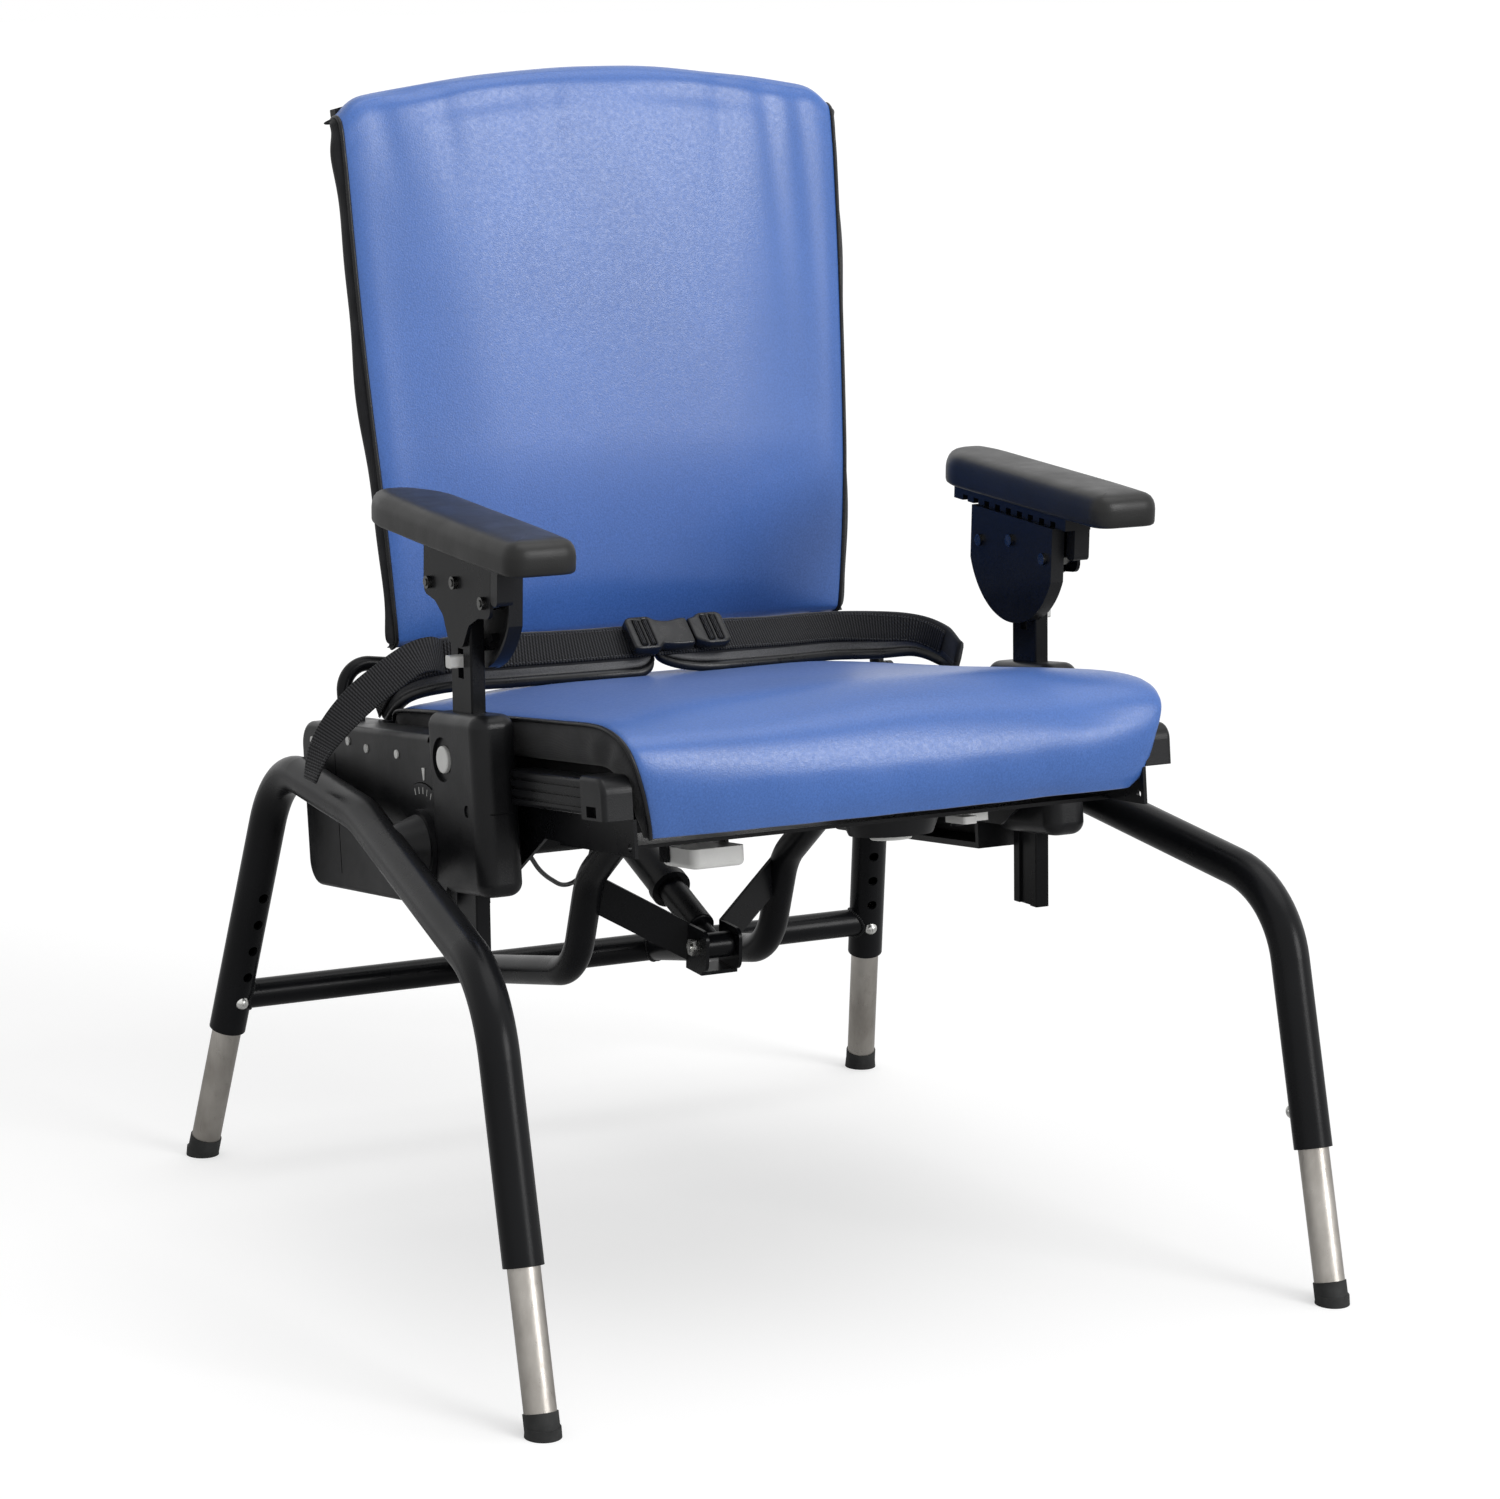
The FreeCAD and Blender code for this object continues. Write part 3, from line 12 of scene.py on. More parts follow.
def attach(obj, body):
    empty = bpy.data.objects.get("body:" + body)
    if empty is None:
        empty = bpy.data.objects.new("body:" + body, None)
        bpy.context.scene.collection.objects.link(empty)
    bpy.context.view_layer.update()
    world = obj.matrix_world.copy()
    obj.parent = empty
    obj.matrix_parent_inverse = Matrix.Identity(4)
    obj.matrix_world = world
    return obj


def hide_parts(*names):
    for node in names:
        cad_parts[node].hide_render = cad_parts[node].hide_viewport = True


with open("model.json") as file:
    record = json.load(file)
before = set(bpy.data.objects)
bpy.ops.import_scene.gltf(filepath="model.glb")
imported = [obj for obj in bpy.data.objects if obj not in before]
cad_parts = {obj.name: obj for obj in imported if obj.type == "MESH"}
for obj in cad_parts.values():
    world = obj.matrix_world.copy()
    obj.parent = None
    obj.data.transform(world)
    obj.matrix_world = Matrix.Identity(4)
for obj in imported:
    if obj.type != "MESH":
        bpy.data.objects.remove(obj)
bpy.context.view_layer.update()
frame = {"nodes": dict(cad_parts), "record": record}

# %% [markdown]
# ## Where the camera stood
# The photograph was solved for its camera from the four feet and the mirrored parts. Its place and
# three angles are written here, and the matrix is filled with the camera's own right, up and back.

# %% Camera
CAMERA_AT = Vector((-1.767737, -3.363043, 1.266167))
YAW, PITCH, ROLL = 0.48602078, 0.22041398, -0.01772678
FOCAL, PHOTO_WIDE, SENSOR = 4700.0, 1500.0, 36.0
ahead = Vector((math.sin(YAW) * math.cos(PITCH), math.cos(YAW) * math.cos(PITCH), -math.sin(PITCH)))
right = Vector((math.cos(YAW), -math.sin(YAW), 0.0))
down = ahead.cross(right)
tilted_right = right * math.cos(ROLL) + down * math.sin(ROLL)
tilted_down = down * math.cos(ROLL) - right * math.sin(ROLL)

camera = bpy.data.objects.new("photo_camera", bpy.data.cameras.new("photo_camera"))
camera.data.sensor_width = SENSOR
camera.data.lens = FOCAL * SENSOR / PHOTO_WIDE
camera.data.clip_end = 60.0
turn = Matrix((tilted_right, -tilted_down, -ahead)).transposed()
camera.matrix_world = Matrix.Translation(CAMERA_AT) @ turn.to_4x4()
bpy.context.scene.collection.objects.link(camera)
bpy.context.scene.camera = camera
print("camera lens", round(camera.data.lens, 1), "mm")

# %% [markdown]
# ## A white studio
# The real picture is on white paper between soft boxes. The sky gives even light from all round, one
# wide sun stands in for the box in front and one for the box above, and the shadow stays soft.
# Camera and mirror rays see plain white.

# %% Light and floor
SKY_LIGHT, PAPER_LIFT, PAPER_TONE = 0.42, 0.50, 0.62
REACH = 14.0
WHITE = (1.0, 1.0, 1.0, 1.0)
scene = bpy.context.scene
scene.view_settings.view_transform = "Standard"
world = bpy.data.worlds.new("white_studio")
scene.world = world
world.use_nodes = True
sky = world.node_tree
sky.nodes.clear()
path = sky.nodes.new("ShaderNodeLightPath")
seen = sky.nodes.new("ShaderNodeMath")
mirrored = sky.nodes.new("ShaderNodeMath")
seen.operation = mirrored.operation = "MAXIMUM"
lit = sky.nodes.new("ShaderNodeBackground")
white = sky.nodes.new("ShaderNodeBackground")
lit.inputs["Strength"].default_value = SKY_LIGHT
white.inputs["Strength"].default_value = 1.0
for shade in (lit, white):
    shade.inputs["Color"].default_value = WHITE
pick = sky.nodes.new("ShaderNodeMixShader")
world_out = sky.nodes.new("ShaderNodeOutputWorld")
for source, target in (
        (path.outputs["Is Camera Ray"], seen.inputs[0]),
        (path.outputs["Is Transmission Ray"], seen.inputs[1]),
        (seen.outputs[0], mirrored.inputs[0]), (path.outputs["Is Glossy Ray"], mirrored.inputs[1]),
        (mirrored.outputs[0], pick.inputs["Fac"]), (lit.outputs[0], pick.inputs[1]),
        (white.outputs[0], pick.inputs[2]), (pick.outputs[0], world_out.inputs["Surface"])):
    sky.links.new(source, target)


def add_sun(name, energy, angle, towards):
    """A wide sun: the angle is its apparent size, and towards is the way its light travels."""
    lamp = bpy.data.lights.new(name, "SUN")
    lamp.energy = energy
    lamp.angle = math.radians(angle)
    holder = bpy.data.objects.new(name, lamp)
    holder.rotation_mode = "QUATERNION"
    holder.rotation_quaternion = Vector(towards).to_track_quat("-Z", "Y")
    scene.collection.objects.link(holder)


add_sun("front_softbox", energy=1.45, angle=26.0, towards=(-0.43, 0.82, -0.40))
add_sun("top_softbox", energy=0.95, angle=50.0, towards=(-0.20, 0.10, -1.0))

floor_mesh = bpy.data.meshes.new("studio_floor")
corners = [(-REACH, -REACH, 0), (REACH, -REACH, 0), (REACH, REACH, 0), (-REACH, REACH, 0)]
floor_mesh.from_pydata(corners, [], [(0, 1, 2, 3)])
floor = bpy.data.objects.new("studio_floor", floor_mesh)
scene.collection.objects.link(floor)
paper = bpy.data.materials.new("white_paper")
paper.use_nodes = True
sheet = paper.node_tree
sheet_shader = sheet.nodes["Principled BSDF"]
sheet_shader.inputs["Base Color"].default_value = (PAPER_TONE, PAPER_TONE, PAPER_TONE, 1.0)
sheet_shader.inputs["Roughness"].default_value = 0.9
sheet_shader.inputs["Specular IOR Level"].default_value = 0.0
sheet_shader.inputs["Emission Color"].default_value = WHITE
looked_at = sheet.nodes.new("ShaderNodeLightPath")
lift = sheet.nodes.new("ShaderNodeMath")
lift.operation = "MULTIPLY"
lift.inputs[1].default_value = PAPER_LIFT
sheet.links.new(looked_at.outputs["Is Camera Ray"], lift.inputs[0])
sheet.links.new(lift.outputs[0], sheet_shader.inputs["Emission Strength"])
floor_mesh.materials.append(paper)

# %% [markdown]
# ## Finishes
# Each finish is a Principled shader fed by a few procedural textures that read Object coordinates, so
# a pattern keeps its real size on every part. Most finishes have the same plan: two close tones, a
# gentle change of gloss and a fine bump. One helper follows that plan, and the few others use its steps.


# %% Finish helper
def add_node(tree, kind, **inputs):
    """Add a shader node and set its inputs by name."""
    node = tree.nodes.new(kind)
    for key, value in inputs.items():
        node.inputs[key.replace("_", " ")].default_value = value
    return node


def base_finish(name, colour, roughness, metallic=0.0, specular=0.5):
    """Principled material with a plain colour."""
    made = bpy.data.materials.new(name)
    made.use_nodes = True
    shader = made.node_tree.nodes["Principled BSDF"]
    shader.inputs["Base Color"].default_value = (*colour, 1.0)
    shader.inputs["Roughness"].default_value = roughness
    shader.inputs["Metallic"].default_value = metallic
    shader.inputs["Specular IOR Level"].default_value = specular
    made.diffuse_color = (*colour, 1.0)
    return made, made.node_tree, shader


def object_points(tree, stretch=(1.0, 1.0, 1.0), turn=(0.0, 0.0, 0.0)):
    """Object coordinates through a Mapping node."""
    where = tree.nodes.new("ShaderNodeTexCoord")
    mapping = add_node(tree, "ShaderNodeMapping", Scale=stretch, Rotation=turn)
    tree.links.new(where.outputs["Object"], mapping.inputs["Vector"])
    return mapping.outputs["Vector"]


def noise(tree, vector, scale, detail=3.0, roughness=0.55):
    """Noise texture output on a vector."""
    node = add_node(tree, "ShaderNodeTexNoise", Scale=scale, Detail=detail, Roughness=roughness)
    tree.links.new(vector, node.inputs["Vector"])
    return node.outputs["Fac"]


def pebbles(tree, vector, scale):
    """Voronoi cells on a vector, for a pebbled or leathery skin."""
    node = add_node(tree, "ShaderNodeTexVoronoi", Scale=scale)
    tree.links.new(vector, node.inputs["Vector"])
    return node.outputs["Distance"]


def spread(tree, value, low, high):
    """Map the middle of a texture's range to low and high."""
    node = add_node(tree, "ShaderNodeMapRange", From_Min=0.3, From_Max=0.7, To_Min=low, To_Max=high)
    tree.links.new(value, node.inputs["Value"])
    return node.outputs["Result"]


def roughen(tree, shader, value, low, high):
    """Let a texture vary the roughness."""
    tree.links.new(spread(tree, value, low, high), shader.inputs["Roughness"])


def tint(tree, shader, value, dark, light, at=(0.3, 0.7)):
    """Let a texture vary the colour between two tones."""
    ramp = tree.nodes.new("ShaderNodeValToRGB")
    for element, place, tone in zip(ramp.color_ramp.elements, at, (dark, light)):
        element.position = place
        element.color = (*tone, 1.0)
    tree.links.new(value, ramp.inputs["Fac"])
    tree.links.new(ramp.outputs["Color"], shader.inputs["Base Color"])


def bump(tree, shader, height, distance, strength=1.0, under=None):
    """Bump the shader's normal from a height; returns the node so bumps can be chained."""
    node = add_node(tree, "ShaderNodeBump", Strength=strength, Distance=distance)
    tree.links.new(height, node.inputs["Height"])
    if under is not None:
        tree.links.new(under.outputs["Normal"], node.inputs["Normal"])
    tree.links.new(node.outputs["Normal"], shader.inputs["Normal"])
    return node


def surface(name, colour, roughness, tone, skin, gloss=None, at=(0.3, 0.7), **more):
    """Finish with two tones, a fine skin and a changing gloss.

    tone is (scale, detail, dark, light), gloss is (scale, detail, low, high) and skin is (scale, detail,
    depth, strength). A skin with no detail is made of pebbles.
    """
    made, tree, shader = base_finish(name, colour, roughness, **more)
    points = object_points(tree)
    tint(tree, shader, noise(tree, points, *tone[:2]), *tone[2:], at)
    if gloss:
        roughen(tree, shader, noise(tree, points, *gloss[:2]), *gloss[2:])
    scale, detail, depth, strength = skin
    height = noise(tree, points, scale, detail) if detail else pebbles(tree, points, scale)
    bump(tree, shader, height, depth, strength)
    return made


print("finish helpers ready")

# %% [markdown]
# ## Black paint, black plastic and rubber
# The tubes are powder coated, the housings are grained nylon and the feet are rubber. All three are
# nearly black, so gloss and skin tell them apart: an orange peel on the paint, pebbles from the mould on
# the nylon and a dusty bloom on the rubber. Noise and Voronoi textures give these at their real size,
# also on CAD meshes, which have no UV map for a painted texture.

# %% Painted and moulded blacks
finishes = {}
# Satin black powder coat: a fine orange-peel skin with a soft sheen.
finishes["powder_coat"] = surface(
    "powder_coat", (0.006, 0.0062, 0.0072), 0.30, specular=0.13,
    tone=(9.0, 4.0, (0.0045, 0.0047, 0.0055), (0.0085, 0.0088, 0.010)),
    gloss=(22.0, 4.0, 0.24, 0.33), skin=(750.0, 2.0, 0.00012, 0.5))
# Grained black nylon: pebbled by the mould, duller than the paint.
finishes["moulded_black"] = surface(
    "moulded_black", (0.008, 0.0082, 0.0092), 0.34, specular=0.22,
    tone=(14.0, 5.0, (0.006, 0.0062, 0.007), (0.011, 0.0113, 0.0125)),
    gloss=(30.0, 3.0, 0.28, 0.42), skin=(900.0, None, 0.00014, 0.45))
# Dull rubber with a dusty bloom.
finishes["foot_rubber"] = surface(
    "foot_rubber", (0.018, 0.019, 0.019), 0.7, specular=0.35, at=(0.4, 0.75),
    tone=(60.0, 5.0, (0.013, 0.0135, 0.0135), (0.032, 0.033, 0.033)), skin=(500.0, 3.0, 0.0002, 0.5))
print(sorted(finishes))

# %% [markdown]
# ## Brushed legs, plated steel and white controls
# The leg tubes are brushed lengthwise, screws and brackets are plated, and the hand controls are white
# nylon. The brushing is noise stretched by a Mapping node, turned to each leg's lean. An anisotropic
# shader could give such streaks too, but stretched noise is also kept when a finish is baked.


# %% Bare metals and white plastic
def brushed_leg(name, turn):
    """Brushed stainless tube: streaks along the tube, turned to lie with each leg's lean."""
    made, tree, shader = base_finish(name, (0.40, 0.375, 0.345), 0.34, metallic=1.0)
    streaks = noise(tree, object_points(tree, (380.0, 380.0, 7.0), turn), 1.0, 4.0, 0.65)
    smudges = noise(tree, object_points(tree, (26.0, 26.0, 14.0)), 1.0, 4.0)
    tint(tree, shader, smudges, (0.29, 0.27, 0.245), (0.50, 0.475, 0.44))
    roughen(tree, shader, streaks, 0.24, 0.48)
    bump(tree, shader, streaks, 0.00012, 0.7)
    return made


def zinc(name, shade):
    """Plated steel with a faint mottle; the shade makes it bright zinc or dark oxide."""
    plain, dark, light = [(v * shade, v * shade, (v - 0.02) * shade) for v in (0.66, 0.55, 0.75)]
    return surface(name, plain, 0.26, metallic=1.0, tone=(180.0, 4.0, dark, light),
                   gloss=(180.0, 4.0, 0.18, 0.36), skin=(900.0, 2.0, 0.00005, 0.4))


FRONT_LEAN, REAR_LEAN = 0.300, 0.227
FRONT_TURN = (math.atan(FRONT_LEAN), 0.0, 0.0)
REAR_TURN = (-math.atan(REAR_LEAN), 0.0, 0.0)
finishes["leg_front"] = brushed_leg("brushed_leg_front", FRONT_TURN)
finishes["leg_rear"] = brushed_leg("brushed_leg_rear", REAR_TURN)
finishes["zinc"] = zinc("zinc_plate", 1.0)
finishes["dark_steel"] = zinc("dark_steel", 0.2)
# White control parts, a little warm, with a satin mould skin.
finishes["white_nylon"] = surface(
    "white_nylon", (0.80, 0.80, 0.78), 0.38, tone=(40.0, 4.0, (0.74, 0.74, 0.72), (0.84, 0.84, 0.82)),
    gloss=(70.0, 3.0, 0.32, 0.46), skin=(1200.0, 2.0, 0.00006, 0.4))
print(sorted(finishes))

# %% [markdown]
# ## Vinyl, knitted cloth, webbing and foam skin
# The blue covers are coated vinyl with a leather grain, their sides are knitted, the strap is woven and
# the arm pads have a foam skin. Voronoi cells and waves draw grain, knit and weave as bumps, because real
# threads would be far too many faces. The strap's waves follow its own UV map, so they turn with it.


# %% Upholstery and webbing finishes
def blue_vinyl():
    """Coated blue vinyl: a close leather grain, satin, with slow changes of tone."""
    made, tree, shader = base_finish("blue_vinyl", (0.056, 0.152, 0.470), 0.33, specular=0.60)
    points = object_points(tree)
    patchy = add_node(tree, "ShaderNodeMath")
    patchy.operation = "MULTIPLY_ADD"
    patchy.inputs[1].default_value = 0.75
    tree.links.new(noise(tree, points, 620.0, 1.0), patchy.inputs[0])
    slow = spread(tree, noise(tree, points, 5.0, 3.0), 0.0, 0.25)
    tree.links.new(slow, patchy.inputs[2])
    tint(tree, shader, patchy.outputs[0], (0.045, 0.128, 0.405), (0.068, 0.178, 0.540), (0.28, 0.72))
    roughen(tree, shader, noise(tree, points, 300.0, 3.0), 0.28, 0.40)
    first = bump(tree, shader, pebbles(tree, points, 760.0), 0.00020, 0.32)
    bump(tree, shader, noise(tree, points, 1500.0, 2.0), 0.00012, 0.4, first)
    shader.inputs["Sheen Weight"].default_value = 0.08
    shader.inputs["Sheen Roughness"].default_value = 0.4
    return made


def black_cover():
    """Black knitted side fabric: two fine crossing ribs and a soft nap."""
    made, tree, shader = base_finish("black_cover", (0.011, 0.0112, 0.013), 0.82, specular=0.2)
    points = object_points(tree)
    ribs = []
    for axis in ("X", "Z"):
        rib = add_node(tree, "ShaderNodeTexWave", Scale=330.0, Distortion=1.2, Detail=1.0)
        rib.bands_direction = axis
        tree.links.new(points, rib.inputs["Vector"])
        ribs.append(rib.outputs["Fac"])
    tint(tree, shader, noise(tree, points, 55.0, 4.0), (0.008, 0.0082, 0.0095), (0.020, 0.0205, 0.023))
    first = bump(tree, shader, ribs[0], 0.0002, 0.4)
    bump(tree, shader, ribs[1], 0.0002, 0.4, first)
    shader.inputs["Sheen Weight"].default_value = 0.25
    shader.inputs["Sheen Roughness"].default_value = 0.5
    return made


def ribbed_webbing():
    """Woven nylon strap. Its UV map is in metres: u runs along the strap and v across it."""
    made, tree, shader = base_finish("ribbed_webbing", (0.010, 0.0102, 0.0115), 0.7, specular=0.25)
    where = tree.nodes.new("ShaderNodeTexCoord")
    ribs = add_node(tree, "ShaderNodeTexWave", Scale=125.0, Distortion=0.4)
    ribs.bands_direction = "X"
    yarn = add_node(tree, "ShaderNodeTexWave", Scale=190.0, Distortion=0.3)
    yarn.bands_direction = "DIAGONAL"
    for texture in (ribs, yarn):
        tree.links.new(where.outputs["UV"], texture.inputs["Vector"])
    tint(tree, shader, ribs.outputs["Fac"], (0.003, 0.0031, 0.0037), (0.022, 0.0224, 0.0248))
    roughen(tree, shader, ribs.outputs["Fac"], 0.80, 0.58)
    first = bump(tree, shader, ribs.outputs["Fac"], 0.0006, 0.7)
    bump(tree, shader, yarn.outputs["Fac"], 0.0004, 0.7, first)
    return made


for make in (blue_vinyl, black_cover, ribbed_webbing):
    finishes[make.__name__] = make()
# Self-skinned foam: smooth, dark, with a fine leather print and a soft shine.
finishes["arm_skin"] = surface(
    "arm_skin", (0.012, 0.012, 0.0118), 0.42, specular=0.30,
    tone=(12.0, 5.0, (0.010, 0.010, 0.0098), (0.018, 0.018, 0.0176)),
    gloss=(40.0, 3.0, 0.36, 0.46), skin=(800.0, None, 0.00016, 0.35))
print(sorted(finishes))

# %% [markdown]
# ## Dressing the rigid parts
# The CAD parts keep their shapes. Each material slot of the record gets one finish, and the legs get
# one for the front pair and one for the rear pair, because the brushing follows the tube.

# %% Assign finishes to the CAD parts
SLOT_FINISH = {
    "black_metal": "powder_coat", "zinc_steel": "zinc", "foot_rubber": "foot_rubber",
    "black_plastic": "moulded_black", "white_plastic": "white_nylon", "board": "black_cover",
    "blue_vinyl": "blue_vinyl", "arm_foam": "arm_skin", "webbing": "ribbed_webbing",
    "leg_steel": "leg_front",
}
slot_of = {part["node"]: part["material_slot"] for part in frame["record"]["subparts"]}
for node_name, node in frame["nodes"].items():
    finish_name = SLOT_FINISH[slot_of[node_name]]
    if node_name.startswith("leg_rear"):
        finish_name = "leg_rear"
    if node_name.startswith("arm_bolts"):
        finish_name = "dark_steel"
    node.data.materials.clear()
    node.data.materials.append(finishes[finish_name])
print("dressed", len(frame["nodes"]), "parts")

# %% [markdown]
# ## Drawing in the seat's own frame
# The whole seat unit leans back on its axle. Two helpers place a point given in the seat's or the
# back's own millimetres, so upholstery can be drawn square and still land where the CAD has it.

# %% Seat and back placing
MM = 0.001
AXLE_Y, AXLE_Z = 18.3, 355.7
AXLE = Vector((0.0, AXLE_Y * MM, AXLE_Z * MM))
SEAT_TILT = math.radians(8.8)
BACK_HINGE = (198.0, 92.0)
BACK_LEAN = math.radians(1.98)


def on_seat(x, y, z):
    """Row-frame point, in metres, of a seat-frame point in millimetres."""
    c, s = math.cos(SEAT_TILT), math.sin(SEAT_TILT)
    return AXLE + Vector((x, y * c + z * s, z * c - y * s)) * MM


def on_back(x, y, z):
    """The same for a point of the back, which leans a little more about its hinge."""
    c, s = math.cos(BACK_LEAN), math.sin(BACK_LEAN)
    dy, dz = y - BACK_HINGE[0], z - BACK_HINGE[1]
    return on_seat(x, BACK_HINGE[0] + dy * c + dz * s, BACK_HINGE[1] + dz * c - dy * s)


def new_piece(name, points, faces, materials, face_material=None):
    """Mesh object at the origin, shaded smooth."""
    mesh = bpy.data.meshes.new(name)
    mesh.from_pydata([tuple(p) for p in points], [], faces)
    for made in materials:
        mesh.materials.append(made)
    if face_material:
        mesh.polygons.foreach_set("material_index", face_material)
    mesh.polygons.foreach_set("use_smooth", [True] * len(mesh.polygons))
    mesh.update()
    piece = bpy.data.objects.new(name, mesh)
    scene.collection.objects.link(piece)
    return piece


def catmull(points, t):
    """Point at t (0 to 1) on a smooth curve through points of equal weight."""
    spans = len(points) - 1
    at = min(max(t, 0.0), 1.0) * spans
    i = min(int(at), spans - 1)
    f = at - i
    p0 = points[max(i - 1, 0)]
    p1, p2 = points[i], points[i + 1]
    p3 = points[min(i + 2, spans)]
    out = []
    for a, b, c, d in zip(p0, p1, p2, p3):
        bend, twist = 2 * a - 5 * b + 4 * c - d, 3 * b - a - 3 * c + d
        out.append(0.5 * (2 * b + (c - a) * f + bend * f * f + twist * f ** 3))
    return out


def outward(piece):
    """Turn all faces to the outside."""
    shell = bmesh.new()
    shell.from_mesh(piece.data)
    bmesh.ops.recalc_face_normals(shell, faces=shell.faces)
    shell.to_mesh(piece.data)
    shell.free()


def plain_mesh(piece):
    """New mesh of what an object's modifiers or curve make of it."""
    return bpy.data.meshes.new_from_object(piece.evaluated_get(bpy.context.evaluated_depsgraph_get()))


print("front of the seat is at", [round(v, 4) for v in on_seat(0, -300, 58)])

# %% [markdown]
# ## Upholstered slabs
# A cushion here is a foam slab with a blue face, black knitted sides and a board behind. The slab is a
# lattice with only its skin kept: a face sheet, a back sheet and four bands between them. That gives
# clean seams to pin, so that cloth under pressure can swell the cover between them.


# %% Slab builder
def slab(name, face_point, back_point, counts, bulge_at, materials):
    """Closed slab. face_point and back_point give (x, y, z) for u in -1..1 and v in 0..1."""
    nu, nv, nt = counts
    index, points, faces, kinds = {}, [], [], []

    def corner(i, j, k):
        key = (i, j, k)
        if key not in index:
            u, v, t = -1.0 + 2.0 * i / nu, j / nv, k / nt
            a, b = Vector(face_point(u, v)), Vector(back_point(u, v))
            p = a.lerp(b, t)
            if i in (0, nu) and 0 < k < nt:
                aside = (b - Vector(back_point(0.0, v))).normalized()
                p += aside * bulge_at(u, v) * 4.0 * t * (1.0 - t)
            index[key] = len(points)
            points.append(p)
        return index[key]

    def quads(cells, ring, kind, flip=False):
        for a, b in cells:
            face = [corner(*at) for at in ring(a, b)]
            faces.append(face[::-1] if flip else face)
            kinds.append(kind)

    grid = [(i, j) for i in range(nu) for j in range(nv)]
    side = [(j, k) for j in range(nv) for k in range(nt)]
    end = [(i, k) for i in range(nu) for k in range(nt)]
    quads(grid, lambda i, j: ((i, j, 0), (i + 1, j, 0), (i + 1, j + 1, 0), (i, j + 1, 0)), 0)
    quads(grid, lambda i, j: ((i, j, nt), (i, j + 1, nt), (i + 1, j + 1, nt), (i + 1, j, nt)), 1)
    for i, flip in ((0, False), (nu, True)):
        quads(side, lambda j, k: ((i, j, k), (i, j + 1, k), (i, j + 1, k + 1), (i, j, k + 1)), 1, flip)
    for j, flip in ((0, True), (nv, False)):
        quads(end, lambda i, k: ((i, j, k), (i + 1, j, k), (i + 1, j, k + 1), (i, j, k + 1)), 1, flip)
    piece = new_piece(name, points, faces, materials, kinds)
    outward(piece)
    rows = {"left_seam": [index[(nu, j, 0)] for j in range(nv + 1)],
            "right_seam": [index[(0, j, 0)] for j in range(nv + 1)],
            "back": [index[(i, j, nt)] for i in range(nu + 1) for j in range(nv + 1)]}
    return piece, rows


CLOTH_FRAMES, CALM_PASSES, CALM_SHARE = 20, 14, 0.7


def inflate(piece, pinned, pressure, cap):
    """Swell the cover with cloth under pressure, its seams and back held. The cap is in metres, and calm
    passes even out the swelling, because thick vinyl on foam shows no sharp creases."""
    before = [v.co.copy() for v in piece.data.vertices]
    group = piece.vertex_groups.new(name="held")
    group.add(sorted(set(pinned)), 1.0, "REPLACE")
    cloth = piece.modifiers.new("cover", "CLOTH")
    cloth.settings.quality = 6
    cloth.settings.mass = 0.25
    cloth.settings.tension_stiffness = 25.0
    cloth.settings.compression_stiffness = 25.0
    cloth.settings.bending_stiffness = 0.8
    cloth.settings.vertex_group_mass = "held"
    cloth.settings.use_pressure = True
    cloth.settings.uniform_pressure_force = pressure
    cloth.settings.effector_weights.gravity = 0.0
    cloth.collision_settings.use_collision = False
    cloth.point_cache.frame_start = 1
    cloth.point_cache.frame_end = CLOTH_FRAMES
    for step in range(1, CLOTH_FRAMES + 1):
        scene.frame_set(step)
    evaluated = piece.evaluated_get(bpy.context.evaluated_depsgraph_get())
    moved = [v.co.copy() for v in evaluated.data.vertices]
    piece.modifiers.remove(cloth)
    piece.vertex_groups.remove(group)
    scene.frame_set(1)
    shifts = [b - a for a, b in zip(before, moved)]
    shifts = [d if d.length < cap else d.normalized() * cap for d in shifts]
    ring = [[] for _ in shifts]
    for edge in piece.data.edges:
        ring[edge.vertices[0]].append(edge.vertices[1])
        ring[edge.vertices[1]].append(edge.vertices[0])
    still = set(pinned)
    for step in range(CALM_PASSES):
        evened = []
        for i, near in enumerate(ring):
            mean = sum((shifts[j] for j in near), Vector()) / len(near)
            evened.append(Vector() if i in still else shifts[i].lerp(mean, CALM_SHARE))
        shifts = evened
    for v, a, d in zip(piece.data.vertices, before, shifts):
        v.co = a + d
    piece.data.update()
    return max(d.length for d in shifts)


def finish_mesh(piece):
    """Subdivide once and keep the result as a plain mesh."""
    smooth = piece.modifiers.new("smooth", "SUBSURF")
    smooth.levels = smooth.render_levels = 1
    made = plain_mesh(piece)
    piece.modifiers.clear()
    old = piece.data
    piece.data = made
    made.name = piece.name
    bpy.data.meshes.remove(old)
    return len(made.polygons)


def upholster(name, face_at, rear_at, counts, bulge_at, pressure, cap, node_name, body):
    """Blue and black cover, swelled and put in place of a CAD cushion; returns its two seams."""
    materials = [finishes["blue_vinyl"], finishes["black_cover"]]
    piece, rows = slab(name, face_at, rear_at, counts, bulge_at, materials)
    sides = [rows["left_seam"], rows["right_seam"]]
    swell = inflate(piece, sides[0] + sides[1] + rows["back"], pressure, cap)
    seams = [[piece.data.vertices[i].co.copy() for i in side] for side in sides]
    count = finish_mesh(piece)
    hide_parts(node_name)
    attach(piece, body)
    print(name, "has", count, "faces and swelled by", round(swell * 1000, 2), "mm")
    return seams


def share_of(value, low, high):
    """How far a value has come from low to high, kept within 0 and 1."""
    return min(1.0, max(0.0, (value - low) / (high - low)))


def bell(value, middle, reach):
    """Smooth bump: 1 at the middle and almost nothing at twice the reach."""
    return math.exp(-((value - middle) / reach) ** 2)


